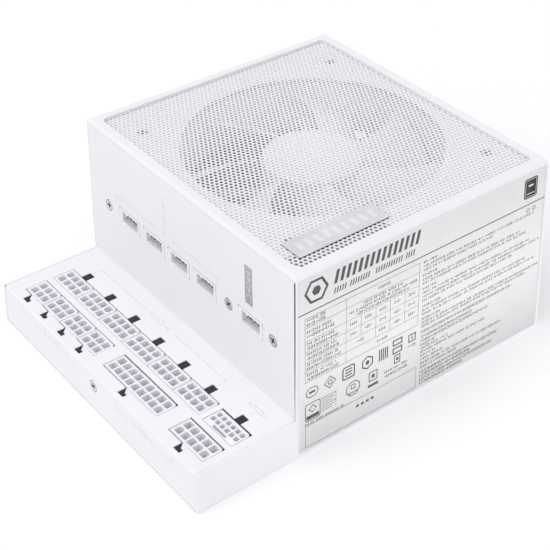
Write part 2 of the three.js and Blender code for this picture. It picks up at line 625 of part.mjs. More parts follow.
// ------------------------------------------------- power conversion pieces
// Wound ring core: an upright oval section revolved in coarse facets.
function ringChoke(x, y, radius, thick, segments) {
  const section = ring(0, 0, 1, 8).map((_, i) => {
    const angle = (2 * Math.PI * i) / 8 + Math.PI / 8;
    return [radius + thick * Math.cos(angle), 0.3 + thick * (1.15 + 1.15 * Math.sin(angle))];
  });
  return turnedOnBoard([...section, section[0]], segments, x, y);
}
add('emi_choke', ringChoke(50, 54, 8.5, 4.5, 14), 'copper');
add('pfc_choke', ringChoke(-16, 64, 12, 6, 16), 'copper');
add('x_capacitor', prism(roundRect(10, 34, 58, 68, 1, 1), 'z', TOP_Z, TOP_Z + 18), 'yellow');

// Radius, height above the board.
const BULK_CAN = [
  [0, 0], [14.6, 0], [15, 1], [15, 3], [14.4, 4], [15, 5], [15, 44], [14, 45], [0, 45],
];
const OUTPUT_CAN = [[0, 0], [4.8, 0], [5, 1], [5, 19], [4.4, 20], [0, 20]];
addEach('bulk_capacitor', [[20, 28], [52, 20]],
  ([x, y]) => turnedOnBoard(BULK_CAN, 18, x, y), 'black');

// Core open along x: plates below and above, walls at both y ends. Heights
// are above the board.
function coreFrame(xMin, xMax, yMin, yMax, low, high, plate, wall) {
  const zMin = TOP_Z + low;
  const zMax = TOP_Z + high;
  return join(
    box(xMin, xMax, yMin, yMax, zMin, zMin + plate),
    box(xMin, xMax, yMin, yMax, zMax - plate, zMax),
    box(xMin, xMax, yMin, yMin + wall, zMin, zMax),
    box(xMin, xMax, yMax - wall, yMax, zMin, zMax));
}
add('main_transformer', join(coreFrame(-32, 3, 4, 40, 3, 34, 8, 5),
  rod('z', -14.5, 22, 12.4, TOP_Z, TOP_Z + 30, 20)), 'ferrite');
add('resonant_inductor', join(coreFrame(40, 60, -18, 2, 2, 22, 5, 3),
  rod('z', 50, -8, 6.4, TOP_Z, TOP_Z + 20, 16)), 'ferrite');
add('standby_transformer', join(coreFrame(14, 31, -8, 9, 4, 17, 4, 1.6),
  box(16.5, 28.5, -6, 7, TOP_Z, TOP_Z + 15)), 'yellow');

// Finned extrusion: an upright web along x or y, and flat fins on its + side.
function heatsink(xMin, xMax, yMin, yMax, zMax, fins, alongX) {
  const web = 3;
  const parts = [alongX
    ? box(xMin, xMax, yMin, yMin + web, TOP_Z, zMax)
    : box(xMin, xMin + web, yMin, yMax, TOP_Z, zMax)];
  const finX = alongX ? xMin : xMin + web - 0.5;
  const finY = alongX ? yMin + web - 0.5 : yMin;
  for (let i = 0; i < fins; i++) {
    const z = TOP_Z + 6 + (i * (zMax - TOP_Z - 8)) / (fins - 1);
    parts.push(box(finX, xMax, finY, yMax, z, z + 1.6));
  }
  return join(...parts);
}
add('primary_heatsink', heatsink(-50, -37, 6, 52, 50, 6, false), 'aluminium');
add('secondary_heatsink', heatsink(-44, 8, -24, -12, 46, 5, true), 'aluminium');

const bridgeRectifier = () => join(
  box(-54, -50, 20, 40, 20, 38),
  ...[22, 27, 32, 37].map((y) => planBox(-52, y, 0.6, 0.6, TOP_Z, 21)));
const converterBoard = () => join(
  box(16, 62, -29, -27.4, TOP_Z, 36),
  box(22, 32, -27.6, -22, 16, 26),
  box(38, 48, -27.6, -22, 16, 26));
add('bridge_rectifier', bridgeRectifier(), 'black');
add('dc_dc_board', converterBoard(), 'board');
add('output_capacitor', turnedOnBoard(OUTPUT_CAN, 12, -56, -20), 'black');

// Bridge from the modular board to the main board: y, z.
const BUS_BAR = [
  [-50, SOCKET_Z], [-48.8, SOCKET_Z], [-48.8, 12.6], [-34.2, 12.6],
  [-34.2, TOP_Z], [-33, TOP_Z], [-33, 13.8], [-50, 13.8],
];
add('bus_bar_12v', prism(BUS_BAR, 'x', -50, -20), 'copper');
add('bus_bar_ground', prism(BUS_BAR, 'x', -10, 20), 'copper');

export default psu;
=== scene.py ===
import math
import random

import bmesh
import bpy
from mathutils import Matrix, Vector


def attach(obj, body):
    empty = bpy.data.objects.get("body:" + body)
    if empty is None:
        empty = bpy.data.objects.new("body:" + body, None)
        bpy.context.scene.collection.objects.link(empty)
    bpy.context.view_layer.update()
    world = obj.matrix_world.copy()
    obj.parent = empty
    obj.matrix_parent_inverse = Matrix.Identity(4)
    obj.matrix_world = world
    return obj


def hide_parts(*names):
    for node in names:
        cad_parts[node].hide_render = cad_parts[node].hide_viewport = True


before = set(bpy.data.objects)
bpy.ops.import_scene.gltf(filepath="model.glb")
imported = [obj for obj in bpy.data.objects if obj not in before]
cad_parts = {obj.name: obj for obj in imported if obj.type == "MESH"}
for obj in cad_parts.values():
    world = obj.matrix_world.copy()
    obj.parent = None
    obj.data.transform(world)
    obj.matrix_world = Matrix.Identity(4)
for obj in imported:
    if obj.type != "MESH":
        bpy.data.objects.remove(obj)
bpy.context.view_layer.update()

scene = bpy.context.scene
MM = 0.001
RNG = random.Random(7)

# ------------------------------------------------------------------ dimensions
HX, Y0, YS, Y1, H, DECK = 75.0, -91.0, -44.0, 91.0, 86.0, 18.6
FAN_Y = 23.6
FAN_TOP = 83.0
N8 = [66.0 + 19.05 * (k - 2.5) - HX for k in range(6)]
N6 = [37.95 + 14.55 * (k - 1.5) - HX for k in range(4)]
X18, X10, X12 = 93.7 - HX, 133.7 - HX, 135.45 - HX
Y_MAIN, Y_FRONT, Y12 = Y0 + 24.9, Y0 + 11.4, Y0 + 24.3
HEADERS = [v - HX for v in (32.0, 51.05, 70.1, 89.15, 120.5)]
HEADER_Z = 48.4
WALL_SCREWS = [(15.2 - HX, 48.8), (106.0 - HX, 48.8), (135.5 - HX, 48.8)]
LEDGE_SCREW = (0.6, 11.8)
INLET = (42.0, 28.0)
SWITCH = (10.0, 28.0)


# ------------------------------------------------------------------- materials
class Nodes:
    """A short way to write a node tree."""

    def __init__(self, name):
        self.mat = bpy.data.materials.new(name)
        self.mat.use_nodes = True
        self.nt = self.mat.node_tree
        self.nt.nodes.clear()
        self.out = self.nt.nodes.new("ShaderNodeOutputMaterial")
        self.bsdf = self.nt.nodes.new("ShaderNodeBsdfPrincipled")
        self.nt.links.new(self.bsdf.outputs[0], self.out.inputs[0])
        self.co = self.nt.nodes.new("ShaderNodeTexCoord").outputs["Object"]

    def set(self, **kw):
        for k, v in kw.items():
            self.bsdf.inputs[k.replace("_", " ")].default_value = v

    def link(self, a, b):
        self.nt.links.new(a, b)

    def noise(self, scale, detail=3.0, rough=0.55, stretch=None, distortion=0.0):
        n = self.nt.nodes.new("ShaderNodeTexNoise")
        n.inputs["Scale"].default_value = scale
        n.inputs["Detail"].default_value = detail
        n.inputs["Roughness"].default_value = rough
        n.inputs["Distortion"].default_value = distortion
        src = self.co
        if stretch:
            m = self.nt.nodes.new("ShaderNodeMapping")
            m.inputs["Scale"].default_value = stretch
            self.link(self.co, m.inputs[0])
            src = m.outputs[0]
        self.link(src, n.inputs["Vector"])
        return n.outputs["Fac"]

    def voronoi(self, scale, feature="F1"):
        n = self.nt.nodes.new("ShaderNodeTexVoronoi")
        n.feature = feature
        n.inputs["Scale"].default_value = scale
        self.link(self.co, n.inputs["Vector"])
        return n.outputs["Distance"]

    def wave(self, scale, axis="X", distortion=0.0):
        n = self.nt.nodes.new("ShaderNodeTexWave")
        n.bands_direction = axis
        n.inputs["Scale"].default_value = scale
        n.inputs["Distortion"].default_value = distortion
        self.link(self.co, n.inputs["Vector"])
        return n.outputs["Fac"]

    def ramp(self, fac, stops):
        n = self.nt.nodes.new("ShaderNodeValToRGB")
        r = n.color_ramp
        while len(r.elements) > 1:
            r.elements.remove(r.elements[-1])
        for i, (p, c) in enumerate(stops):
            e = r.elements[0] if i == 0 else r.elements.new(p)
            e.position = p
            e.color = (*c, 1.0) if len(c) == 3 else c
        self.link(fac, n.inputs[0])
        return n.outputs["Color"]

    def span(self, fac, lo, hi, a=0.3, b=0.7):
        n = self.nt.nodes.new("ShaderNodeMapRange")
        n.inputs["From Min"].default_value = a
        n.inputs["From Max"].default_value = b
        n.inputs["To Min"].default_value = lo
        n.inputs["To Max"].default_value = hi
        self.link(fac, n.inputs["Value"])
        return n.outputs["Result"]

    def math(self, op, a, b=None):
        n = self.nt.nodes.new("ShaderNodeMath")
        n.operation = op
        for i, v in enumerate((a, b)):
            if v is None:
                continue
            if hasattr(v, "is_output"):
                self.link(v, n.inputs[i])
            else:
                n.inputs[i].default_value = v
        return n.outputs[0]

    def color(self, sock):
        self.link(sock, self.bsdf.inputs["Base Color"])

    def rough(self, sock):
        self.link(sock, self.bsdf.inputs["Roughness"])

    def bump(self, fac, dist, strength=1.0, chain=None):
        n = self.nt.nodes.new("ShaderNodeBump")
        n.inputs["Distance"].default_value = dist
        n.inputs["Strength"].default_value = strength
        self.link(fac, n.inputs["Height"])
        if chain is not None:
            self.link(chain, n.inputs["Normal"])
        self.link(n.outputs[0], self.bsdf.inputs["Normal"])
        return n.outputs[0]

    def occlude(self, distance, dark, light, power=1.0):
        """Painted shade: an ambient-occlusion ramp that darkens the colour in creases."""
        n = self.nt.nodes.new("ShaderNodeAmbientOcclusion")
        n.inputs["Distance"].default_value = distance
        n.samples = 8
        return self.ramp(n.outputs["AO"], [(0.0, dark), (1.0, light)])


def tint(c, f):
    return tuple(max(0.0, min(1.0, v * f)) for v in c)


def coat(name, base, rough=(0.42, 0.52), grain=2600.0, depth=0.00002):
    """Powder coat: fine orange peel over a slow drift in tone."""
    m = Nodes(name)
    m.color(m.ramp(m.noise(22.0, 4.0), [(0.25, tint(base, 0.985)), (0.75, tint(base, 1.01))]))
    m.rough(m.span(m.noise(260.0, 3.0), *rough))
    n = m.bump(m.noise(grain * 0.35, 2.0, 0.5), depth * 2.5, 0.25)
    m.bump(m.noise(grain, 3.0, 0.6), depth, 0.6, n)
    m.set(Specular_IOR_Level=0.35)
    return m.mat


def plastic(name, base, rough=(0.35, 0.5), grain=3200.0, depth=0.000012, spec=0.4, sss=0.0):
    """Moulded plastic: faint flow marks and an eroded fine texture."""
    m = Nodes(name)
    m.color(m.ramp(m.noise(60.0, 5.0, 0.6, distortion=0.6), [(0.25, tint(base, 0.97)), (0.75, tint(base, 1.02))]))
    m.rough(m.span(m.noise(500.0, 3.0), *rough))
    m.bump(m.noise(grain, 4.0, 0.65), depth, 0.8)
    m.set(Specular_IOR_Level=spec)
    if sss:
        m.set(Subsurface_Weight=sss, Subsurface_Radius=(1.0, 1.0, 1.0), Subsurface_Scale=0.0012)
    return m.mat


def metal(name, base, rough=(0.25, 0.4), brushed=None, depth=0.00001, scale=900.0, metallic=1.0):
    m = Nodes(name)
    m.color(m.ramp(m.noise(90.0, 4.0), [(0.2, tint(base, 0.86)), (0.8, tint(base, 1.05))]))
    m.set(Metallic=metallic)
    grain = m.noise(scale, 3.0, 0.6, stretch=brushed)
    m.rough(m.span(grain, *rough))
    m.bump(grain, depth, 0.7)
    return m.mat


WHITE = (0.86, 0.86, 0.875)
M = {}
M["coat"] = coat("white_powder_coat", WHITE)
M["mesh"] = coat("white_mesh_coat", (0.87, 0.865, 0.882), (0.4, 0.5))
M["label"] = plastic("label_film", (0.835, 0.835, 0.838), (0.5, 0.62), 1800.0, 0.000006, 0.3)
M["ink"] = plastic("label_ink", (0.105, 0.105, 0.11), (0.45, 0.6), 2500.0, 0.000004, 0.3)
M["ink_grey"] = plastic("label_ink_grey", (0.2, 0.2, 0.205), (0.45, 0.6), 2500.0, 0.000004, 0.3)
M["ink_faint"] = plastic("panel_ink", (0.62, 0.62, 0.63), (0.45, 0.6), 2500.0, 0.000004, 0.3)
M["ink_mid"] = plastic("panel_ink_mid", (0.46, 0.46, 0.47), (0.45, 0.6), 2500.0, 0.000004, 0.3)
M["socket"] = plastic("socket_nylon", (0.88, 0.873, 0.92), (0.38, 0.52), sss=0.5)
# Dark grey for the strip beside the badge: painted shadow of the badge below the mesh.
M["pad"] = plastic("badge_shadow_pad", (0.25, 0.25, 0.26), (0.8, 0.95), 1500.0, 0.00008, 0.2)
M["fan"] = plastic("fan_glass_filled", (0.86, 0.86, 0.875), (0.3, 0.42))
M["black"] = plastic("black_moulding", (0.018, 0.018, 0.02), (0.35, 0.5), 2600.0, 0.00002)
M["badge"] = metal("badge_brushed", (0.795, 0.8, 0.804), (0.34, 0.46), (1.0, 0.03, 1.0), 0.000006, 3000.0, 0.35)
M["screw"] = metal("screw_zinc", (0.74, 0.74, 0.75), (0.3, 0.45), None, 0.00001, 1500.0)
M["pin"] = metal("contact_tin", (0.62, 0.6, 0.56), (0.2, 0.35), None, 0.000004, 2500.0)

# Darker copy of the white coat for the bracket plate: painted shade under the intake mesh.
M["coat_in"] = coat("white_coat_inside", (0.8, 0.8, 0.82))
# Dark grey for the inside faces of the sheets: painted shade inside the casing.
M["inner"] = coat("inside_painted_shade", (0.2, 0.2, 0.205), (0.5, 0.65))
# Near-black for the notch inserts, the gap strips, the header shoulders and the inset under the badge: painted shade.
M["liner"] = plastic("dark_painted_shade", (0.03, 0.03, 0.036), (0.5, 0.65), 1800.0, 0.00002, 0.25)
# Dark colour for the walls and floor of the screw crosses: painted shade in the recess.
M["recess"] = metal("recess_painted_shade", (0.12, 0.12, 0.122), (0.4, 0.6), None, 0.000006, 2500.0)
M["header_pin"] = metal("header_pin", (0.2, 0.19, 0.18), (0.3, 0.45), None, 0.000004, 2500.0)
M["badge_light"] = metal("badge_bar", (0.9, 0.91, 0.91), (0.28, 0.36), (1.0, 0.03, 1.0), 0.000004, 3000.0, 0.35)
M["screw_dark"] = metal("screw_black_zinc", (0.1, 0.1, 0.105), (0.35, 0.5), None, 0.00001, 1500.0)
M["steel"] = metal("laminated_steel", (0.42, 0.43, 0.45), (0.35, 0.5), (0.05, 0.05, 6.0), 0.00002, 1200.0)
M["copper"] = metal("enamelled_wire", (0.66, 0.3, 0.13), (0.18, 0.3), None, 0.000006, 900.0)
M["copper_bar"] = metal("tinned_copper", (0.72, 0.42, 0.27), (0.28, 0.42), (1.0, 0.05, 1.0), 0.00001, 1200.0)
M["brass"] = metal("turned_brass", (0.72, 0.55, 0.26), (0.2, 0.32), (0.3, 0.3, 8.0), 0.000006, 1600.0)
M["aluminium"] = metal("extruded_aluminium", (0.42, 0.43, 0.45), (0.3, 0.46), (0.05, 1.0, 1.0), 0.00001, 1400.0)
M["ferrite"] = plastic("sintered_ferrite", (0.045, 0.045, 0.05), (0.5, 0.7), 1500.0, 0.00003, 0.3)
M["ferrite_green"] = plastic("coated_core", (0.02, 0.09, 0.06), (0.3, 0.45), 1200.0, 0.00002, 0.4)
M["tape"] = plastic("polyester_tape", (0.72, 0.48, 0.06), (0.22, 0.35), 700.0, 0.00003, 0.5)
M["sleeve"] = plastic("shrink_sleeve", (0.022, 0.022, 0.028), (0.2, 0.32), 900.0, 0.00002, 0.5)
M["film"] = plastic("polyester_sheet", (0.3, 0.29, 0.25), (0.25, 0.4), 600.0, 0.00003, 0.5)


def board(name, base, trace):
    """Solder mask over copper: traces show as a faint raised pattern with small pads."""
    m = Nodes(name)
    cells = m.voronoi(260.0, "DISTANCE_TO_EDGE")
    lines = m.math("LESS_THAN", cells, 0.055)
    pads = m.math("LESS_THAN", m.voronoi(420.0), 0.2)
    mix = m.math("MAXIMUM", lines, m.math("MULTIPLY", pads, 0.8))
    m.color(m.ramp(mix, [(0.0, base), (0.5, tint(trace, 0.7)), (1.0, trace)]))
    m.rough(m.span(m.noise(300.0), 0.25, 0.4))
    m.bump(mix, 0.00003, 0.6)
    return m.mat


M["board"] = board("solder_mask_green", (0.01, 0.07, 0.03), (0.03, 0.15, 0.07))
M["board_black"] = board("solder_mask_black", (0.02, 0.02, 0.023), (0.05, 0.05, 0.056))


# --------------------------------------------------------------- mesh helpers
def v3(p):
    return Vector((p[0] * MM, p[1] * MM, p[2] * MM))


def circle(cx, cy, r, n, turn=0.0):
    return [(cx + r * math.cos(turn + 2 * math.pi * i / n), cy + r * math.sin(turn + 2 * math.pi * i / n)) for i in range(n)]


def rrect(x0, x1, y0, y1, r, n=4):
    out = []
    for cx, cy, a in ((x1 - r, y1 - r, 0), (x0 + r, y1 - r, 90), (x0 + r, y0 + r, 180), (x1 - r, y0 + r, 270)):
        for i in range(n + 1):
            t = math.radians(a + 90 * i / n)
            out.append((cx + r * math.cos(t), cy + r * math.sin(t)))
    return out


def rect(x0, x1, y0, y1):
    return [(x1, y1), (x0, y1), (x0, y0), (x1, y0)]


def cham(x0, x1, y0, y1, c, which=(1, 1, 1, 1)):
    a, b, d, e = [w * c for w in which]
    p = [(x1, y1 - a)]
    if a: p.append((x1 - a, y1))
    p.append((x0 + b, y1))
    if b: p.append((x0, y1 - b))
    p.append((x0, y0 + d))
    if d: p.append((x0 + d, y0))
    p.append((x1 - e, y0))
    if e: p.append((x1, y0 + e))
    return p


def fill(bm, loops, to3, normal):
    """Fills an outline with holes; to3 maps (u, v) to mm and normal is the side that faces out."""
    edges, verts = [], []
    for lp in loops:
        vs = [bm.verts.new(v3(to3(u, v))) for u, v in lp]
        verts.append(vs)
        for i in range(len(vs)):
            edges.append(bm.edges.new((vs[i], vs[(i + 1) % len(vs)])))
    got = bmesh.ops.triangle_fill(bm, use_beauty=True, use_dissolve=False, edges=edges, normal=Vector(normal))
    faces = [g for g in got["geom"] if isinstance(g, bmesh.types.BMFace)]
    n = Vector(normal)
    for f in faces:
        f.normal_update()
        if f.normal.dot(n) < 0:
            f.normal_flip()
    return verts, faces


def walls(bm, ring_a, ring_b, mat=0):
    n = len(ring_a)
    out = []
    for i in range(n):
        j = (i + 1) % n
        f = bm.faces.new((ring_a[i], ring_a[j], ring_b[j], ring_b[i]))
        f.material_index = mat
        out.append(f)
    return out


def prism(bm, loops, lo, hi, frame3, mat=0):
    """A closed prism of an outline with holes. frame3 maps (u, v, w) to mm."""
    o = Vector(frame3(0, 0, 0))
    n = (Vector(frame3(0, 0, 1)) - o).normalized()
    top, ft = fill(bm, loops, lambda u, v: frame3(u, v, hi), n)
    bot, fb = fill(bm, loops, lambda u, v: frame3(u, v, lo), -n)
    for f in ft + fb:
        f.material_index = mat
    for a, b in zip(top, bot):
        walls(bm, a, b, mat)


XY = lambda u, v, w: (u, v, w)
YZ = lambda u, v, w: (w, u, v)
XZ = lambda u, v, w: (u, -w, v)  # w runs towards -Y


def boxm(bm, x0, x1, y0, y1, z0, z1, mat=0):
    prism(bm, [rect(x0, x1, y0, y1)], z0, z1, XY, mat)


def lathe(bm, profile, n, centre, axis="z", mat=0, closed=False):
    """Revolves (r, h) points; a point with r 0 is a pole."""
    rings = []
    for r, h in profile:
        if r < 1e-6:
            p = (0.0, 0.0, h)
            pts = [p]
        else:
            pts = [(r * math.cos(2 * math.pi * i / n), r * math.sin(2 * math.pi * i / n), h) for i in range(n)]
        out = []
        for p in pts:
            if axis == "z": q = (centre[0] + p[0], centre[1] + p[1], centre[2] + p[2])
            elif axis == "y": q = (centre[0] + p[0], centre[1] - p[2], centre[2] + p[1])
            else: q = (centre[0] + p[2], centre[1] + p[0], centre[2] + p[1])
            out.append(bm.verts.new(v3(q)))
        rings.append(out)
    pairs = list(zip(rings, rings[1:])) + ([(rings[-1], rings[0])] if closed else [])
    for a, b in pairs:
        for i in range(n):
            j = (i + 1) % n
            if len(a) == 1 and len(b) == 1: continue
            if len(a) == 1: f = bm.faces.new((a[0], b[i], b[j]))
            elif len(b) == 1: f = bm.faces.new((a[i], a[j], b[0]))
            else: f = bm.faces.new((a[i], a[j], b[j], b[i]))
            f.material_index = mat


def sweep(bm, pts, r, sides=12, mat=0, cap=True):
    """A round tube through points in mm, with parallel-transported rings."""
    P = [Vector(p) for p in pts]
    T = []
    for i in range(len(P)):
        a = P[max(0, i - 1)]; b = P[min(len(P) - 1, i + 1)]
        T.append((b - a).normalized())
    up = Vector((0, 0, 1)) if abs(T[0].z) < 0.9 else Vector((1, 0, 0))
    n = T[0].cross(up).normalized()
    rings = []
    for i, p in enumerate(P):
        n = (n - T[i] * n.dot(T[i])).normalized()
        b = T[i].cross(n)
        rr = r(i / (len(P) - 1)) if callable(r) else r
        rings.append([bm.verts.new(v3(p + (n * math.cos(2 * math.pi * k / sides) + b * math.sin(2 * math.pi * k / sides)) * rr)) for k in range(sides)])
    for a, b in zip(rings, rings[1:]):
        walls(bm, a, b, mat)
    if cap:
        for rg, rev in ((rings[0], False), (rings[-1], True)):
            f = bm.faces.new(rg if not rev else rg[::-1])
            f.material_index = mat


def spline(points, n):
    """Catmull-Rom through points."""
    P = [Vector(p) for p in points]
    P = [P[0] * 2 - P[1]] + P + [P[-1] * 2 - P[-2]]
    out = []
    segs = len(P) - 3
    for s in range(segs):
        a, b, c, d = P[s:s + 4]
        for k in range(n if s < segs - 1 else n + 1):
            t = k / n
            out.append(0.5 * ((2 * b) + (c - a) * t + (2 * a - 5 * b + 4 * c - d) * t * t + (3 * b - a - 3 * c + d) * t ** 3))
    return out


def piece(name, bm, mats, body="casing", replaces=(), mods=(), weld=1e-6, recalc=True):
    if weld:
        bmesh.ops.remove_doubles(bm, verts=bm.verts, dist=weld)
    if recalc:
        bmesh.ops.recalc_face_normals(bm, faces=bm.faces)
    me = bpy.data.meshes.new(name)
    bm.to_mesh(me)
    bm.free()
    for m in (mats if isinstance(mats, (list, tuple)) else [mats]):
        me.materials.append(M[m])
    me.shade_smooth()
    ob = bpy.data.objects.new(name, me)
    scene.collection.objects.link(ob)
    for m in mods:
        m(ob)
    if mods:
        bpy.context.view_layer.update()
        dg = bpy.context.evaluated_depsgraph_get()
        new = bpy.data.meshes.new_from_object(ob.evaluated_get(dg), preserve_all_data_layers=True, depsgraph=dg)
        ob.modifiers.clear()
        ob.data = new
        new.name = name
        bpy.data.meshes.remove(me)
        if weighted in mods:
            settle_normals(new)
    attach(ob, body)
    if replaces:
        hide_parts(*replaces)
    return ob


def bevel(width, segments=2, angle=40, strength=True):
    def f(ob):
        m = ob.modifiers.new("bevel", "BEVEL")
        m.width = width * MM
        m.segments = segments
        m.limit_method = "ANGLE"
        m.angle_limit = math.radians(angle)
        m.use_clamp_overlap = False
        m.miter_outer = "MITER_SHARP"
        if strength:
            m.face_strength_mode = "FSTR_AFFECTED"
    return f


def solidify(t, inner=0):
    def f(ob):
        m = ob.modifiers.new("sheet", "SOLIDIFY")
        m.thickness = t * MM
        m.offset = -1.0
        m.use_even_offset = True
        m.use_quality_normals = True
        m.material_offset = inner
    return f


def weighted_mod(ob):
    m = ob.modifiers.new("normals", "WEIGHTED_NORMAL")
    m.mode = "FACE_AREA_WITH_ANGLE"
    m.weight = 80
    m.keep_sharp = False
    m.use_face_influence = True


def weighted(ob):
    """Marks a piece for settle_normals once its modifiers are baked in."""


def settle_normals(me, limit=48.0):
    """Flat regions keep their own normal, and the bends and rims between them shade smoothly from one to the next."""
    polys = me.polygons
    nrm = [p.normal.copy() for p in polys]
    area = [p.area for p in polys]
    near_polys = {}
    at_vert = [[] for _ in me.vertices]
    for p in polys:
        for li in p.loop_indices:
            near_polys.setdefault(me.loops[li].edge_index, []).append(p.index)
            at_vert[me.loops[li].vertex_index].append(p.index)
    touching = [[] for _ in polys]
    for ps in near_polys.values():
        for a in ps:
            for b in ps:
                if a != b and nrm[a].dot(nrm[b]) > 0.99995:
                    touching[a].append(b)
    cluster = [-1] * len(polys)
    size = []
    for i in range(len(polys)):
        if cluster[i] >= 0:
            continue
        c = len(size)
        total, todo = 0.0, [i]
        cluster[i] = c
        while todo:
            a = todo.pop()
            total += area[a]
            for b in touching[a]:
                if cluster[b] < 0:
                    cluster[b] = c
                    todo.append(b)
        size.append(total * 1e6)
    cos = math.cos(math.radians(limit))
    out = [None] * len(me.loops)
    for p in polys:
        n = nrm[p.index]
        for li in p.loop_indices:
            acc, seen = Vector((0, 0, 0)), set()
            for q in at_vert[me.loops[li].vertex_index]:
                c = cluster[q]
                if c in seen or nrm[q].dot(n) < cos:
                    continue
                seen.add(c)
                acc += nrm[q] * (size[c] * size[c] + 1e-12)
            out[li] = acc.normalized() if acc.length > 0 else n
    me.normals_split_custom_set(out)

def weld(bm, dist=1e-5):
    bmesh.ops.remove_doubles(bm, verts=bm.verts, dist=dist)


def flag(bm, *tests):
    """Marks edges for the bend radius: each test is (predicate on a vertex in mm, weight)."""
    weld(bm)
    layer = bm.edges.layers.float.get("bevel_weight_edge") or bm.edges.layers.float.new("bevel_weight_edge")
    for e in bm.edges:
        a, b = (v.co / MM for v in e.verts)
        for test, w in tests:
            if test(a) and test(b):
                e[layer] = w


def strip(bm, sheet, at, axis, cut, bend):
    """Leaves one clean face beside a bend: the part of the sheet `sheet = at` from `axis = cut` to `axis = bend`."""
    ax = {"x": 0, "y": 1, "z": 2}
    s, a = ax[sheet], ax[axis]
    on = lambda f: all(abs(v.co[s] - at * MM) < 1e-6 for v in f.verts)
    faces = [f for f in bm.faces if on(f)]
    geom = faces + list({e for f in faces for e in f.edges}) + list({v for f in faces for v in f.verts})
    co, no = [0, 0, 0], [0, 0, 0]
    co[a], no[a] = cut * MM, 1
    bmesh.ops.bisect_plane(bm, geom=geom, dist=1e-6, plane_co=co, plane_no=no)
    lo, hi = min(cut, bend) * MM - 2e-6, max(cut, bend) * MM + 2e-6
    inside = lambda f: on(f) and all(lo <= v.co[a] <= hi for v in f.verts)
    gone = [e for e in bm.edges if len(e.link_faces) == 2 and all(inside(f) for f in e.link_faces)]
    bmesh.ops.dissolve_edges(bm, edges=gone, use_verts=False)


def bends(width, segments=5):
    def f(ob):
        m = ob.modifiers.new("bends", "BEVEL")
        m.width = width * MM
        m.segments = segments
        m.limit_method = "WEIGHT"
        m.use_clamp_overlap = False
    return f


near = lambda a, b: abs(a - b) < 0.01

# ------------------------------------------------------------------ the casing
# Cover: one folded sheet. The outer skin is drawn first, its bends are rounded,
# and then it is given its thickness inwards. The +X side is pressed in by the
# thickness of the rating label.
LABEL = (-42.8, 89.8, 1.5, 84.0)
bm = bmesh.new()
LIP = 84.1
fill(bm, [[(-HX, YS), (HX, YS), (HX, Y1), (-HX, Y1)], rrect(-70.4, 70.4, -39.2, 85.8, 3.0, 6)], lambda u, v: (u, v, H), (0, 0, 1))
side = [(Y0, 0), (Y1, 0), (Y1, LIP), (Y1, H), (YS, H), (YS, LIP), (YS, DECK), (Y0, DECK)]
fill(bm, [side], lambda u, v: (-HX, u, v), (-1, 0, 0))
lab = rrect(*LABEL, 1.2, 4)
vs, _ = fill(bm, [side, lab], lambda u, v: (HX, u, v), (1, 0, 0))
vi, _ = fill(bm, [lab], lambda u, v: (HX - 0.2, u, v), (1, 0, 0))
for f in walls(bm, vi[0], vs[1]):
    f.normal_update()
    c = f.calc_center_median() / MM
    if f.normal.dot(Vector((0, 23.5 - c.y, 42.75 - c.z))) < 0:
        f.normal_flip()
for y, n in ((YS, -1), (Y1, 1)):
    fill(bm, [[(-HX, LIP), (HX, LIP), (HX, H), (-HX, H)]], lambda u, v: (u, y, v), (0, n, 0))
bmesh.ops.remove_doubles(bm, verts=bm.verts, dist=1e-6)
for sx in (-HX, HX):
    strip(bm, "x", sx, "z", LIP, H)
strip(bm, "z", H, "x", HX - 1.9, HX)
strip(bm, "z", H, "x", -HX + 1.9, -HX)
strip(bm, "z", H, "y", YS + 1.9, YS)
strip(bm, "z", H, "y", Y1 - 1.9, Y1)
flag(bm, (lambda p: near(abs(p.x), HX) and near(p.z, H), 1.0), (lambda p: near(p.y, YS) and near(p.z, H), 1.0),
     (lambda p: near(p.y, Y1) and near(p.z, H), 1.0))
# Inner faces of the sheets take the dark inside colour: painted shade inside the casing.
piece("cover_sheet", bm, ["coat", "inner"], replaces=("top_cover",), recalc=False,
      mods=(bends(1.65), solidify(1.0, 1), bevel(0.08, 2, 50), weighted))

# Connector panel: ledge front, deck and step wall in one folded sheet.
PX = HX - 1.0 - 0.06
YF = Y0 + 0.03
bm = bmesh.new()
fill(bm, [[(-PX, 0.35), (PX, 0.35), (PX, DECK), (-PX, DECK)], circle(LEDGE_SCREW[0], LEDGE_SCREW[1], 2.7, 24)],
     lambda u, v: (u, YF, v), (0, -1, 0))


def cutout(xc, yc, w, d, notch_y, nw=2.0, more=0.0):
    """A socket's cut-out with the notch that lets its latch in, on the side of notch_y."""
    x0, x1, y0, y1 = xc - w / 2, xc + w / 2, yc - d / 2, yc + d / 2 + more
    if notch_y > yc:
        return [(x0, y0), (x1, y0), (x1, y1), (xc + nw, y1), (xc + nw, notch_y), (xc - nw, notch_y), (xc - nw, y1), (x0, y1)]
    return [(x0, y0 - 0.18), (xc - nw, y0 - 0.18), (xc - nw, notch_y), (xc + nw, notch_y), (xc + nw, y0), (x1, y0), (x1, y1), (x0, y1)]


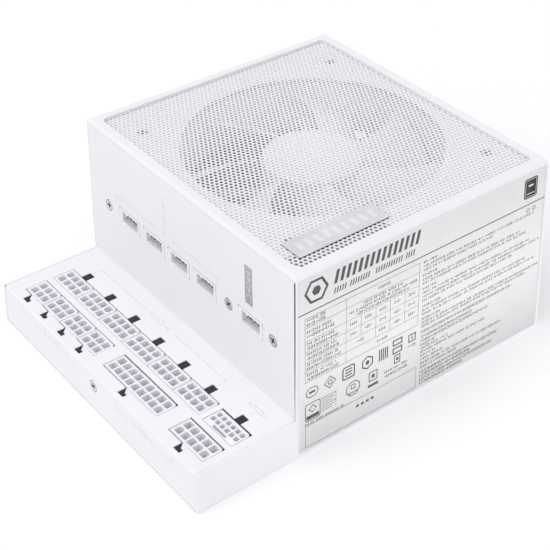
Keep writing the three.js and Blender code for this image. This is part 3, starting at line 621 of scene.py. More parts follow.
cuts = [cutout(x, Y_MAIN, 18.6, 10.5, Y0 + 34.5) for x in N8]
cuts += [cutout(x, Y_FRONT, 14.2, 10.5, Y0 + 1.95) for x in N6]
cuts += [cutout(X18, Y_FRONT, 39.7, 10.5, Y0 + 1.95, 2.0, 0.12), cutout(X10, Y_FRONT, 22.9, 10.5, Y0 + 1.95, 2.0, 0.12),
         cutout(X12, Y12, 19.6, 9.9, Y0 + 33.6, 2.1, 0.28)]
fill(bm, [[(-PX, YF), (PX, YF), (PX, YS), (-PX, YS)]] + cuts, lambda u, v: (u, v, DECK), (0, 0, 1))
wall_holes = [rrect(x - 8.06, x + 8.45, HEADER_Z - 4.06, HEADER_Z + 4.45, 0.35, 2) for x in HEADERS]
wall_holes += [circle(x, z, 2.7, 24) for x, z in WALL_SCREWS]
WT = LIP - 0.12
fill(bm, [[(-PX, DECK), (PX, DECK), (PX, WT), (-PX, WT)]] + wall_holes, lambda u, v: (u, YS, v), (0, -1, 0))
strip(bm, "z", DECK, "y", YF + 1.75, YF)
strip(bm, "y", YF, "z", DECK - 1.75, DECK)
strip(bm, "z", DECK, "y", YS - 1.75, YS)
strip(bm, "y", YS, "z", DECK + 1.75, DECK)
flag(bm, (lambda p: near(p.y, YF) and near(p.z, DECK), 1.0), (lambda p: near(p.y, YS) and near(p.z, DECK), 0.7))
piece("connector_sheet", bm, ["coat", "inner"], replaces=("connector_panel",), recalc=False,
      mods=(bends(1.4), solidify(1.0, 1), bevel(0.08, 2, 50), weighted))

# Base: floor and rear panel in one folded sheet. The rear panel is vented by
# a honeycomb wherever the inlet, the switch and the fixing holes leave room.
BX = HX - 1.0 - 0.05
REAR_HOLES = [(-69, 16), (-69, 80), (45, 6.35), (69, 80)]
bm = bmesh.new()
YB = Y1 - 0.02
posts = [(-64, -32), (64, -32), (-64, 80), (64, 80), (-69, -86), (69, -86), (-69, -47), (69, -47)]
floor_holes = [circle(x, y, 2.6, 20) for x, y in posts]
vf, _ = fill(bm, [[(-BX, -89.8), (BX, -89.8), (BX, YB), (-BX, YB)]] + floor_holes, lambda u, v: (u, v, 0.0), (0, 0, -1))
for (x, y), ring in zip(posts, vf[1:]):
    inner = circle(x, y, 1.5, 20)
    vr, _ = fill(bm, [inner], lambda u, v: (u, v, 0.55), (0, 0, -1))
    for f in walls(bm, ring, vr[0]):
        f.normal_update()
        if f.normal.z > 0: f.normal_flip()
vents = []
PITCH, HEX = 5.6, 2.75
for i in range(-15, 16):
    for j in range(0, 16):
        x = i * PITCH * 0.8660254
        z = 6.5 + j * PITCH + (PITCH / 2 if i % 2 else 0.0)
        if abs(x) > 70.2 or z > 81.2 or z < 5.5: continue
        if abs(x - INLET[0]) < 19.5 and abs(z - INLET[1]) < 16.2: continue
        if abs(x - SWITCH[0]) < 11.6 and abs(z - SWITCH[1]) < 15.0: continue
        if any(math.hypot(x - a, z - b) < 6.8 for a, b in REAR_HOLES): continue
        vents.append(circle(x, z, HEX, 6))
rear_cuts = vents + [circle(x, z, 1.85, 20) for x, z in REAR_HOLES]
ix, iz = INLET
sx, sz = SWITCH
rear_cuts.append(cham(ix - 13.6, ix + 13.6, iz - 10, iz + 10, 3, (0, 0, 1, 1)))
rear_cuts.append(rect(sx - 6.8, sx + 6.8, sz - 9.9, sz + 9.9))
ZT = H - 1.15
fill(bm, [cham(-BX, BX, 0.0, ZT, 1.2, (1, 1, 0, 0))] + rear_cuts, lambda u, v: (u, YB, v), (0, 1, 0))
strip(bm, "z", 0.0, "y", YB - 1.75, YB)
strip(bm, "y", YB, "z", 1.75, 0.0)
flag(bm, (lambda p: near(p.y, YB) and near(p.z, 0), 1.0))
piece("base_sheet", bm, ["coat", "inner"], replaces=("base_shell",), recalc=False,
      mods=(bends(1.4), solidify(0.98, 1), bevel(0.08, 1, 50), weighted))

# Upturned flange behind the ledge front, spot-welded to the floor.
bm = bmesh.new()
boxm(bm, -60, 60, Y0 + 1.1, Y0 + 2.05, 1.02, 15.5)
for s in (-1, 1):
    boxm(bm, s * 60 - 4 * (s > 0), s * 60 + 4 * (s < 0), Y0 + 2.05, Y0 + 9, 1.02, 1.95)
piece("ledge_flange", bm, "coat", mods=(bevel(0.15, 2), weighted))

# ----------------------------------------------------------------- intake mesh
A_PITCH, A_R, SIDES = 2.18, 0.82, 8
R_HEX = A_PITCH / math.sqrt(3)
ZM0, ZM1 = 84.04, 84.46


def mesh_sheet():
    verts, faces, key = [], [], {}

    def vert(x, y, z):
        k = (round(x * 500), round(y * 500), round(z * 500))
        if k not in key:
            key[k] = len(verts)
            verts.append((x * MM, y * MM, z * MM))
        return key[k]

    outer = [(R_HEX * math.cos(math.radians(60 * k)), R_HEX * math.sin(math.radians(60 * k)), 60.0 * k) for k in range(6)]
    inner = [(A_R * math.cos(math.radians(22.5 + 45 * k)), A_R * math.sin(math.radians(22.5 + 45 * k)), 22.5 + 45 * k) for k in range(SIDES)]
    # zip the six corners of the cell to the eight of the hole
    tris, i, j = [], 0, 0
    while i < 6 or j < SIDES:
        ao = outer[(i + 1) % 6][2] + (360 if i + 1 >= 6 else 0)
        ai = inner[(j + 1) % SIDES][2] + (360 if j + 1 >= SIDES else 0)
        if j >= SIDES or (i < 6 and ao <= ai):
            tris.append((("o", i), ("o", (i + 1) % 6), ("i", j % SIDES)))
            i += 1
        else:
            tris.append((("o", i % 6), ("i", (j + 1) % SIDES), ("i", j)))
            j += 1
    cols = int(71.2 / (1.5 * R_HEX))
    for c in range(-cols, cols + 1):
        x = c * 1.5 * R_HEX
        for r in range(-31, 31):
            y = FAN_Y - 0.3 + r * A_PITCH + (A_PITCH / 2 if c % 2 else 0.0)
            if y < -40.4 or y > 87.0: continue
            blind = (53.4 < x < 63.2 and -32.2 < y < 11.6)
            ot = [vert(x + a, y + b, ZM1) for a, b, _ in outer]
            ob = [vert(x + a, y + b, ZM0) for a, b, _ in outer]
            if blind:
                faces.append(ot)
                faces.append(ob[::-1])
                continue
            it = [vert(x + a, y + b, ZM1) for a, b, _ in inner]
            ib = [vert(x + a, y + b, ZM0) for a, b, _ in inner]
            for t in tris:
                faces.append([(ot if k == "o" else it)[n] for k, n in t])
                faces.append([(ob if k == "o" else ib)[n] for k, n in t][::-1])
            for k in range(SIDES):
                m = (k + 1) % SIDES
                faces.append([it[k], it[m], ib[m], ib[k]])
    # close the outside edge of the lattice
    count = {}
    for f in faces:
        for a, b in zip(f, f[1:] + f[:1]):
            count[(a, b)] = count.get((a, b), 0) + 1
    rim = [(a, b) for (a, b) in count if (b, a) not in count and verts[a][2] > 0.08425 and verts[b][2] > 0.08425]
    for a, b in rim:
        ka = key[(round(verts[a][0] / MM * 500), round(verts[a][1] / MM * 500), round(ZM0 * 500))]
        kb = key[(round(verts[b][0] / MM * 500), round(verts[b][1] / MM * 500), round(ZM0 * 500))]
        faces.append([b, a, ka, kb])
    me = bpy.data.meshes.new("intake_mesh")
    me.from_pydata(verts, [], faces)
    me.materials.append(M["mesh"])
    me.update()
    ob = bpy.data.objects.new("intake_mesh", me)
    scene.collection.objects.link(ob)
    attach(ob, "casing")
    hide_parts("fan_grille")
    return ob


mesh_sheet()

# Plain margin that the mesh is pressed in, under the edge of the cover.
bm = bmesh.new()
prism(bm, [rrect(-73.2, 73.2, -42.8, 89.8, 1.5, 3), rrect(-71.3, 71.3, -40.3, 86.8, 2.0, 3)], 84.0, ZM1, XY)
prism(bm, [rrect(-73.2, 73.2, -42.8, 89.8, 1.5, 3), rrect(-70.45, 70.45, -39.25, 85.85, 3.0, 6)], ZM1, 84.97, XY)
piece("mesh_margin", bm, "mesh", mods=(bevel(0.05, 1), weighted))

# Badge: a thin blank brushed plate with a fine edge, on a dark inset that paints the thin shadow under its edge.
bm = bmesh.new()
BX0, BX1, BY0, BY1 = 52.4, 64.3, -33.6, 11.9
prism(bm, [rrect(BX0, BX1, BY0, BY1, 0.8, 4)], 84.76, 85.12, XY)
# dark inset under the plate: painted contact shadow along the edge
prism(bm, [rrect(BX0 + 0.12, BX1 - 0.12, BY0 + 0.12, BY1 - 0.12, 0.7, 4)], 84.48, 84.74, XY, 2)
for k in range(9):
    y = BY0 + 4.6 + k * 4.54
    prism(bm, [rrect(BX0 + 3.3, BX1 - 3.3, y - 1.15, y + 1.15, 0.4, 2)], 85.02, 85.22, XY, 1)
piece("badge_plate", bm, ["badge", "badge_light", "liner"], replaces=("grille_badge",), mods=(bevel(0.14, 2, 50), weighted))

# -------------------------------------------------------------- rating label
bm = bmesh.new()
L0 = 0.06
prism(bm, [rrect(LABEL[0] + L0, LABEL[1] - L0, LABEL[2] + L0, LABEL[3] - L0, 1.15, 4)], HX - 0.19, HX - 0.035, YZ)
piece("rating_label", bm, "label", replaces=("side_label",))

SIDE = lambda u, v, w: (HX - 0.04 + w, u, v)


def bar(bm, u0, u1, v0, v1, fr=SIDE, t=0.03, mat=0, shear=0.0, under=0.005):
    """One flat printed mark."""
    a = [(u0, v0), (u1, v0), (u1 + shear, v1), (u0 + shear, v1)]
    top = [bm.verts.new(v3(fr(u, v, t))) for u, v in a]
    bot = [bm.verts.new(v3(fr(u, v, -under))) for u, v in a]
    fs = [bm.faces.new(top), bm.faces.new(bot[::-1])]
    for i in range(4):
        j = (i + 1) % 4
        fs.append(bm.faces.new((top[j], top[i], bot[i], bot[j])))
    for f in fs:
        f.material_index = mat


def outline(bm, loop_out, loop_in, fr=SIDE, t=0.03, mat=0):
    prism(bm, [loop_out, loop_in], -0.005, t, fr, mat)


def frame_rect(bm, u0, u1, v0, v1, s, fr=SIDE, mat=0):
    for a in ((u0, u1, v0, v0 + s), (u0, u1, v1 - s, v1), (u0, u0 + s, v0 + s, v1 - s), (u1 - s, u1, v0 + s, v1 - s)):
        bar(bm, *a, fr=fr, mat=mat)


def greek(bm, u0, u1, vc, h, rng, fr=SIDE, mat=0, pitch=0.92, stroke=0.4, shear=0.0, words=True, vertical=False, t=0.03):
    """A line of small marks with the rhythm of print but no letters in it."""
    u = u0
    left = rng.randint(3, 9)
    while u < u1 - stroke:
        k = rng.random()
        marks = [(0, stroke, -h / 2, h / 2)] if k < 0.45 else ([(0, pitch * 0.72, -h / 2, -h / 2 + stroke), (0, pitch * 0.72, h / 2 - stroke, h / 2)] if k < 0.75 else [(0, pitch * 0.72, -stroke / 2, stroke / 2)])
        for a, b, c, d in marks:
            b = min(u + b, u1) - u
            if vertical: bar(bm, vc + c, vc + d, u + a, u + b, fr=fr, mat=mat, t=t)
            else: bar(bm, u + a, u + b, vc + c, vc + d, fr=fr, mat=mat, shear=shear, t=t)
        u += pitch
        left -= 1
        if words and left <= 0:
            u += pitch * 0.8
            left = rng.randint(2, 10)


def stripes(bm, u0, u1, v0, v1, pitch, stroke, shear, fr=SIDE, mat=0, gaps=()):
    n = int((u1 - u0 - stroke) / pitch) + 1
    for k in range(n):
        if k in gaps: continue
        bar(bm, u0 + k * pitch, u0 + k * pitch + stroke, v0, v1, fr=fr, mat=mat, shear=shear)


rng = random.Random(11)
bm = bmesh.new()
# heading: plain hexagon mark, a band of slanted stripes and a finer band under it
outline(bm, circle(-34.0, 76.6, 5.9, 6, 0), circle(-34.0, 76.6, 4.7, 6, 0))
prism(bm, [circle(-34.0, 76.6, 2.2, 6, 0)], -0.005, 0.03, SIDE)
stripes(bm, -25.5, 18.6, 75.5, 81.5, 2.95, 1.55, 1.4)
stripes(bm, -25.5, 15.4, 70.9, 73.5, 1.3, 0.55, 0.55, gaps=(5, 14, 15, 27))
bar(bm, -42.74, 89.74, 67.8, 68.25)
# dark rounded tab at the top right corner
prism(bm, [rrect(76.9, 84.6, 71.2, 81.0, 1.1, 4)], -0.005, 0.022, SIDE, 1)
outline(bm, rrect(77.5, 84.0, 71.8, 80.4, 0.7, 3), rrect(77.75, 83.75, 72.05, 80.15, 0.5, 3), t=0.03, mat=2)
bar(bm, 79.3, 82.2, 76.9, 77.7, t=0.03, mat=2)
bar(bm, 78.4, 83.1, 73.2, 73.6, t=0.03, mat=2)
for y in (79.9, 83.4):
    outline(bm, circle(y, 65.2, 1.25, 4), circle(y, 65.2, 0.9, 4))
# table
T0, T1, TB, TT = -39.6, 18.8, 35.0, 65.5
frame_rect(bm, T0, T1, TB, TT, 0.16)
for z in (61.0, 54.7, 49.8, 44.9, 40.0):
    bar(bm, T0, T1, z - 0.07, z + 0.07)
bar(bm, -19.27, -19.13, TB, TT)
for y in (-11.6, -4.0, 3.5, 11.3):
    lo = 40.0 if y > -5 else 44.9
    bar(bm, y - 0.07, y + 0.07, lo, 54.7)
for z, n in ((63.3, 9), (57.9, 13), (52.3, 15), (47.4, 15), (42.5, 16), (37.5, 15)):
    greek(bm, T0 + 1.0, T0 + 1.0 + n * 1.0, z + 1.05, 1.25, rng, mat=0, pitch=0.95)
    greek(bm, T0 + 1.0, T0 + 1.0 + n * 1.05, z - 1.05, 1.35, rng, mat=0, pitch=0.85, words=False)
greek(bm, -3.0, 3.4, 63.3, 1.2, rng)
greek(bm, -10.5, 10.0, 59.8, 1.2, rng)
greek(bm, -17.8, 17.4, 57.9, 1.2, rng)
greek(bm, -14.0, 14.0, 56.0, 1.3, rng, words=False)
for y0, y1 in ((-19.2, -11.6), (-11.6, -4.0), (-4.0, 3.5), (3.5, 11.3), (11.3, 18.8)):
    for z in (52.3, 47.4):
        greek(bm, (y0 + y1) / 2 - 1.8, (y0 + y1) / 2 + 1.8, z, 1.3, rng, words=False)
for a, b in ((-13.6, -9.6), (-2.2, 1.8), (5.6, 9.2), (13.4, 17.0)):
    greek(bm, a, b, 42.5, 1.3, rng, words=False)
greek(bm, -3.0, 2.4, 37.5, 1.3, rng, words=False)
# two rows of plain marks
u = lambda px: -46 + px / 11.0
outline(bm, rrect(u(75), u(143), 27.0, 31.8, 2.3, 5), rrect(u(75) + 0.35, u(143) - 0.35, 27.35, 31.45, 2.0, 5))
bar(bm, u(75) + 1.6, u(143) - 1.6, 28.9, 29.9)
outline(bm, circle((u(170) + u(245)) / 2, 29.6, 3.1, 4, 0), circle((u(170) + u(245)) / 2, 29.6, 2.6, 4, 0))
outline(bm, circle((u(170) + u(245)) / 2, 29.6, 1.2, 12), circle((u(170) + u(245)) / 2, 29.6, 0.8, 12))
outline(bm, rrect(u(276), u(347), 26.4, 32.8, 1.1, 3), rrect(u(276) + 0.6, u(347) - 0.6, 27.0, 32.2, 0.7, 3))
for v in (28.2, 29.6, 31.0):
    bar(bm, u(276) + 1.5, u(347) - 1.5, v - 0.3, v + 0.3)
outline(bm, circle((u(378) + u(460)) / 2, 29.4, 3.3, 6, 0.5236), circle((u(378) + u(460)) / 2, 29.4, 2.65, 6, 0.5236))
prism(bm, [circle((u(378) + u(460)) / 2, 29.4, 1.1, 6, 0.5236)], -0.005, 0.03, SIDE)
stripes(bm, u(485), u(540), 26.6, 32.4, 1.05, 0.55, 0.0)
frame_rect(bm, u(565), u(622), 30.4, 33.4, 0.6)
frame_rect(bm, u(565), u(622), 26.4, 29.4, 0.6)
frame_rect(bm, u(680) - 2.0, u(680) + 2.0, 28.2, 32.2, 0.5)
bar(bm, u(680) - 0.25, u(680) + 0.25, 29.2, 31.2)
greek(bm, u(655), u(705), 26.3, 1.2, rng, words=False)
outline(bm, rrect(u(70), u(155), 15.7, 24.3, 1.0, 3), rrect(u(70) + 0.35, u(155) - 0.35, 16.05, 23.95, 0.8, 3))
outline(bm, circle(u(112), 21.2, 2.0, 4), circle(u(112), 21.2, 1.5, 4))
bar(bm, u(70) + 0.7, u(155) - 0.7, 16.5, 18.3, mat=0)
for k in range(6):
    bar(bm, u(160), u(240) - (k % 3) * 0.9, 23.4 - k * 1.25, 23.65 - k * 1.25)
bar(bm, u(240), u(240) + 0.16, 16.2, 24.0)
greek(bm, u(70), u(290), 14.4, 1.0, rng, pitch=0.8)
outline(bm, circle(u(338), 20.4, 3.8, 8, 0.39), circle(u(338), 20.4, 3.4, 8, 0.39))
frame_rect(bm, u(338) - 1.2, u(338) + 1.2, 20.2, 22.4, 0.35)
greek(bm, u(338) - 2.4, u(338) + 2.4, 18.4, 0.7, rng, pitch=0.7, words=False)
frame_rect(bm, u(428), u(478), 18.9, 23.6, 0.4)
bar(bm, u(444), u(462), 20.4, 22.1)
bar(bm, u(423), u(483), 16.2, 17.4)
outline(bm, rrect(u(575), u(612), 21.2, 25.6, 0.5, 3), rrect(u(575) + 0.45, u(612) - 0.45, 21.65, 25.15, 0.3, 3))
bar(bm, u(588), u(600), 22.6, 24.2)
greek(bm, u(520), u(655), 19.6, 1.15, rng)
greek(bm, u(520), u(655), 17.4, 1.15, rng)
# box for a serial mark
frame_rect(bm, -39.5, 18.7, 3.0, 15.0 - 1.4, 0.16)
for k in range(4):
    bar(bm, -13.6 + k * 2.6, -13.6 + k * 2.6 + 1.5, 9.6, 10.7)
# right-hand column of small print
for py, right in ((255, 818), (277, 1430), (298, 1165), (325, 822), (348, 1340), (368, 1380), (398, 820), (420, 1405), (441, 1475), (462, 1295),
                  (494, 857), (516, 1385), (537, 1445), (564, 857), (585, 1480), (604, 1400), (634, 1310), (662, 1053), (685, 1155), (706, 823),
                  (726, 902), (747, 1143), (768, 823), (789, 873), (812, 1255), (834, 962), (861, 1228), (882, 1052), (903, 1205), (924, 1010)):
    z = 88 - py / 11.0
    dense = 604 < py < 710 or py > 850
    greek(bm, 20.8, -46 + right / 11.0, z, 1.25 if dense else 1.1, rng, pitch=0.8 if dense else 0.88, stroke=0.36, words=not dense)
piece("label_print", bm, ["ink", "black", "label"], weld=0, recalc=False)

# ------------------------------------------------- faint print on the panels
rng = random.Random(5)
bm = bmesh.new()
TOPP = lambda u, v, w: (u - HX, v + Y0, DECK + w)
WALLP = lambda u, v, w: (u - HX, YS - w, v)
FRNT = lambda u, v, w: (u - HX, YF - w, v)


def bracket(bm, fr, a, b, level, drop, gap, s=0.16, up=False):
    for x0, x1 in ((a, gap[0]), (gap[1], b)):
        bar(bm, x0, x1, level - s / 2, level + s / 2, fr=fr, t=0.02)
    for x in (a, b):
        lo, hi = (level, level + drop) if up else (level - drop, level)
        bar(bm, x - s / 2, x + s / 2, lo, hi, fr=fr, t=0.02)


bracket(bm, TOPP, 17.8, 113.7, 39.8, 4.4, (54.8, 76.3))
greek(bm, 57.6, 73.6, 39.8, 2.2, rng, fr=TOPP, pitch=1.75, stroke=0.3, words=False, t=0.02)
greek(bm, 129.0, 141.6, 39.5, 1.9, rng, fr=TOPP, pitch=1.5, stroke=0.3, words=False, t=0.02)
bar(bm, 135.2, 135.4, 35.8, 37.8, fr=TOPP, t=0.02)
bracket(bm, WALLP, 21.7, 99.2, 57.3, 3.3, (53.7, 66.5))
greek(bm, 57.0, 76.0, 60.3, 2.4, rng, fr=WALLP, pitch=1.75, stroke=0.3, words=False, vertical=True, t=0.02)
bracket(bm, FRNT, 16.5, 60.7, 13.5, 3.2, (26.3, 50.6), up=True)
greek(bm, 28.6, 48.2, 14.0, 2.0, rng, fr=FRNT, pitch=1.7, stroke=0.3, words=False, t=0.02)
bracket(bm, FRNT, 93.7, 133.8, 13.1, 3.2, (103.3, 124.2), up=True)
greek(bm, 105.5, 122.0, 13.4, 2.0, rng, fr=FRNT, pitch=1.7, stroke=0.3, words=False, t=0.02)
bar(bm, 117.7, 122.6, 57.0, 74.8, fr=WALLP, t=0.02, mat=1)
greek(bm, 58.0, 73.9, 120.15, 2.9, rng, fr=lambda u, v, w: (u - HX, YS - 0.02 - w, v), pitch=1.55, stroke=0.34, words=False, vertical=True, t=0.015, mat=2)
piece("panel_print", bm, ["ink_faint", "ink_mid", "coat"], weld=0, recalc=False)

# --------------------------------------------------------------- power sockets
SZ = 6.0
FLOOR = 6.6


def dshape(x, y, h, latch):
    """A well whose two corners away from the latch are rounded off."""
    r, n = h * 0.62, 4
    out = []
    for sx_, sy_, a0 in ((1, 1, 0), (-1, 1, 90), (-1, -1, 180), (1, -1, 270)):
        if sy_ == -latch:
            for i in range(n + 1):
                t = math.radians(a0 + 90 * i / n)
                out.append((x + sx_ * (h - r) + r * math.cos(t), y + sy_ * (h - r) + r * math.sin(t)))
        else:
            out.append((x + sx_ * h, y + sy_ * h))
    return out


def scaled(loop, c, s):
    return [(c[0] + (u - c[0]) * s, c[1] + (v - c[1]) * s) for u, v in loop]


def socket_body(bm, outer, wells, top, bottom, floor_z, fr=XY, up=(0, 0, 1)):
    up = Vector(up)
    vt, _ = fill(bm, [outer] + [w for w, _ in wells], lambda u, v: fr(u, v, top), up)
    vb, _ = fill(bm, [outer], lambda u, v: fr(u, v, bottom), -up)
    walls(bm, vt[0], vb[0])
    for (w, c), ring in zip(wells, vt[1:]):
        vw, _ = fill(bm, [scaled(w, c, 0.95)], lambda u, v: fr(u, v, floor_z), up)
        walls(bm, ring, vw[0])


def pin(bm, x, y, z0, z1, h, fr=XY, mat=1):
    """A square contact with a tapered tip."""
    ring = [(x + h, y + h), (x - h, y + h), (x - h, y - h), (x + h, y - h)]
    tip = scaled(ring, (x, y), 0.45)
    a = [bm.verts.new(v3(fr(u, v, z0))) for u, v in ring]
    b = [bm.verts.new(v3(fr(u, v, z1 - h * 1.4))) for u, v in ring]
    c = [bm.verts.new(v3(fr(u, v, z1))) for u, v in tip]
    fs = walls(bm, a, b, mat) + walls(bm, b, c, mat)
    for f in (bm.faces.new(c), bm.faces.new(a[::-1])):
        f.material_index = mat


def power_socket(name, cx, cy, cols, width, depth, pitch, cell, latch, pattern, sense=False):
    bm = bmesh.new()
    cyb = cy - 0.1
    wy = cy + 0.6 if sense else cy
    outer = cham(cx - width / 2, cx + width / 2, cyb - depth / 2, cyb + depth / 2, 0.85, (1, 0, 0, 0))
    wells = []
    for row in (0, 1):
        for c in range(cols):
            x = cx + (c - (cols - 1) / 2) * pitch
            y = wy + (row - 0.5) * pitch
            h = cell / 2
            lp = dshape(x, y, h, latch) if pattern[row][c] == "d" else rect(x - h, x + h, y - h, y + h)
            wells.append((lp, (x, y)))
    top = DECK - 0.06
    if sense:
        wells.append((rect(cx - 4.2, cx + 4.2, cy - 4.05, cy - 2.85), (cx, cy - 3.45)))
    socket_body(bm, outer, wells, top, SZ, top - FLOOR)
    for _, (x, y) in wells[:cols * 2]:
        pin(bm, x, y, top - FLOOR, top - (3.6 if sense else 4.2), 0.32 if sense else 0.53)
    if sense:
        for k in (-1.5, -0.5, 0.5, 1.5):
            pin(bm, cx + k * 2.0, cy - 3.45, top - FLOOR, top - 2.6, 0.2)
    # latch ramp on the latch side
    edge = cyb + latch * depth / 2
    if latch > 0:
        zs = [(0.0, DECK - 1.3), (0.35, DECK - 1.3), (1.75, DECK - 3.4), (1.75, DECK - 4.6), (0.0, DECK - 4.6)]
        prism(bm, [[(edge + a, z) for a, z in zs]], cx - 1.4, cx + 1.4, YZ)
    else:
        foot = Y0 + 3.97
        ramp = [(cx - 1.85, edge + 0.02), (cx - 1.55, edge - 0.35), (cx + 0.1, foot + 0.2), (cx + 0.6, foot), (cx + 1.94, foot), (cx + 1.94, edge + 0.02)]
        prism(bm, [ramp[::-1]], DECK - 4.6, DECK - 0.07, XY)
    # a rib lower down, on the side away from the latch, that stops the socket in its cut-out
    for s in (-1, 1):
        boxm(bm, cx - width / 2 + 1.2, cx + width / 2 - 1.2, edge - latch * (depth + 0.0) - 0.25 * (latch > 0), edge - latch * depth + 0.25 * (latch < 0), DECK - 6, DECK - 1.6)
        break
    return piece(name, bm, ["socket", "pin"], replaces=(name.replace("shell_", "socket_"),),
                 mods=(bevel(0.1, 2, 55), weighted))


for k, x in enumerate(N8):
    power_socket(f"shell_8pin_{k + 1}", x, Y_MAIN, 4, 18.0, 9.8, 4.2, 3.4, 1, ["sdds", "dssd"])
for k, x in enumerate(N6):
    power_socket(f"shell_6pin_{k + 1}", x, Y_FRONT, 3, 13.7, 9.8, 4.2, 3.4, -1, ["dss", "sdd"])
power_socket("shell_18pin", X18, Y_FRONT, 9, 39.0, 9.8, 4.2, 3.4, -1, ["dssddssdd", "sddssddss"])
power_socket("shell_10pin", X10, Y_FRONT, 5, 22.2, 9.8, 4.2, 3.4, -1, ["dssdd", "sddss"])
power_socket("shell_12v_2x6", X12, Y12, 6, 18.9, 9.2, 3.0, 2.2, 1, ["ssssdd", "ddssss"], sense=True)

# Dark inserts close the notches from below, and dark strips lie along the gaps beside the sockets: painted shade in the
# notches and gaps.
def liner(name, loops):
    bm = bmesh.new()
    for lp in loops:
        prism(bm, [lp], DECK - 0.95, DECK - 0.3, XY)
    piece(name, bm, "liner", weld=0, mods=(bevel(0.05, 1), weighted))


liner("notch_shade_back", [rect(x - 1.97, x + 1.97, Y_MAIN + 4.95, Y0 + 34.47) for x in N8])
liner("notch_shade_12v", [rect(X12 - 2.07, X12 + 2.07, Y12 + 4.7, Y0 + 33.57), rect(X12 - 9.7, X12 - 2.07, Y12 + 4.52, Y12 + 5.2),
                          rect(X12 + 2.07, X12 + 9.7, Y12 + 4.52, Y12 + 5.2)])
liner("notch_shade_front", [[(x - 1.97, Y0 + 1.98), (x + 1.97, Y0 + 1.98), (x + 1.97, Y0 + 3.95), (x + 0.6, Y0 + 3.95), (x + 0.07, Y0 + 4.15), (x - 1.6, Y0 + 5.75), (x - 1.9, Y0 + 6.1), (x - 1.97, Y0 + 6.1)]
                            for x in N6 + [X18, X10]]
      + [rect(x - w / 2 + 0.05, x - 1.97, Y_FRONT - 5.4, Y_FRONT - 5.02) for x, w in [(x, 14.2) for x in N6] + [(X18, 39.7), (X10, 22.9)]]
      + [rect(x - w / 2 + 0.1, x + w / 2 - 0.1, Y_FRONT + 4.82, Y_FRONT + 5.34) for x, w in ((X18, 39.7), (X10, 22.9))])

# ---------------------------------------------------------------- data headers
HXZ = lambda u, v, w: (u, YS - w, v)
for k, x in enumerate(HEADERS):
    bm = bmesh.new()
    z0, z1 = HEADER_Z - 4.0, HEADER_Z + 4.0
    cav = [(x - 5.6, z0 + 1.5), (x + 6.4, z0 + 1.5), (x + 6.4, z1 - 1.2), (x - 1.9, z1 - 1.2), (x - 1.9, z1 - 2.0), (x - 2.9, z1 - 2.0), (x - 2.9, z1 - 1.2), (x - 5.6, z1 - 1.2)]
    outer = cham(x - 8, x + 8, z0, z1, 0.5, (1, 1, 0, 0))
    vt, _ = fill(bm, [outer, cav], lambda u, v: HXZ(u, v, -0.02), (0, -1, 0))
    vb, _ = fill(bm, [outer], lambda u, v: HXZ(u, v, -10), (0, 1, 0))
    walls(bm, vt[0], vb[0])
    vc, _ = fill(bm, [cav], lambda u, v: HXZ(u, v, -7), (0, -1, 0))
    walls(bm, vt[1], vc[0])
    for d in (-3.81, -1.27, 1.27, 3.81):
        pin(bm, x + d + 0.4, HEADER_Z + 0.8, -7.2, -0.9, 0.36, HXZ)
    # a shoulder that stops the header behind the wall
    prism(bm, [rect(x - 8.6, x + 8.6, z0 - 0.6, z0 + 0.01)], -9.5, -1.5, HXZ)
    # The top and right shoulders are near-black: painted shade in the gap above and beside the header.
    prism(bm, [rect(x - 8.6, x + 8.9, z1 - 0.01, z1 + 0.7)], -9.5, -1.6, HXZ, 2)
    prism(bm, [rect(x + 7.99, x + 8.9, z0 - 0.2, z1)], -9.5, -1.6, HXZ, 2)
    piece(f"header_shell_{k + 1}", bm, ["socket", "header_pin", "liner"], replaces=(f"data_header_{k + 1}",),
          mods=(bevel(0.1, 2, 55), weighted))


# --------------------------------------------------------------------- screws
def cross(L, w, turn=0.0):
    p = [(L, -w), (L, w), (w, w), (w, L), (-w, L), (-w, w), (-L, w), (-L, -w), (-w, -w), (-w, -L), (w, -L), (w, -w)]
    c, s = math.cos(turn), math.sin(turn)
    return [(u * c - v * s, u * s + v * c) for u, v in p]


def screw_mesh(bm, fr, R, top, prof, length, L=1.5, w=0.36, deep=1.1, turn=0.3, n=28):
    """A cross-recess screw: head rim, outline below it, then a threaded shank."""
    rim = circle(0, 0, R, n)
    up = (Vector(fr(0, 0, 1)) - Vector(fr(0, 0, 0))).normalized()
    vt, _ = fill(bm, [rim, cross(L, w, turn)], lambda u, v: fr(u, v, top), up)
    vc, _ = fill(bm, [cross(L * 0.45, w * 0.6, turn)], lambda u, v: fr(u, v, top - deep), up)
    # The cross walls and floor take the dark colour: painted shade in the recess.
    for f in walls(bm, vt[1], vc[0]) + list(vc[0][0].link_faces):
        f.material_index = 1
    ring = vt[0]
    for r, h in prof:
        nxt = [bm.verts.new(v3(fr(r * math.cos(2 * math.pi * i / n), r * math.sin(2 * math.pi * i / n), h))) for i in range(n)]
        walls(bm, ring, nxt)
        ring = nxt
    r0 = prof[-1][0]
    h = prof[-1][1]
    z = h
    while z > -length:
        for rr, dz in ((r0 * 0.84, 0.22), (r0, 0.22)):
            z -= dz
            nxt = [bm.verts.new(v3(fr(rr * math.cos(2 * math.pi * i / n), rr * math.sin(2 * math.pi * i / n), z))) for i in range(n)]
            walls(bm, ring, nxt)
            ring = nxt
    bm.faces.new(ring)


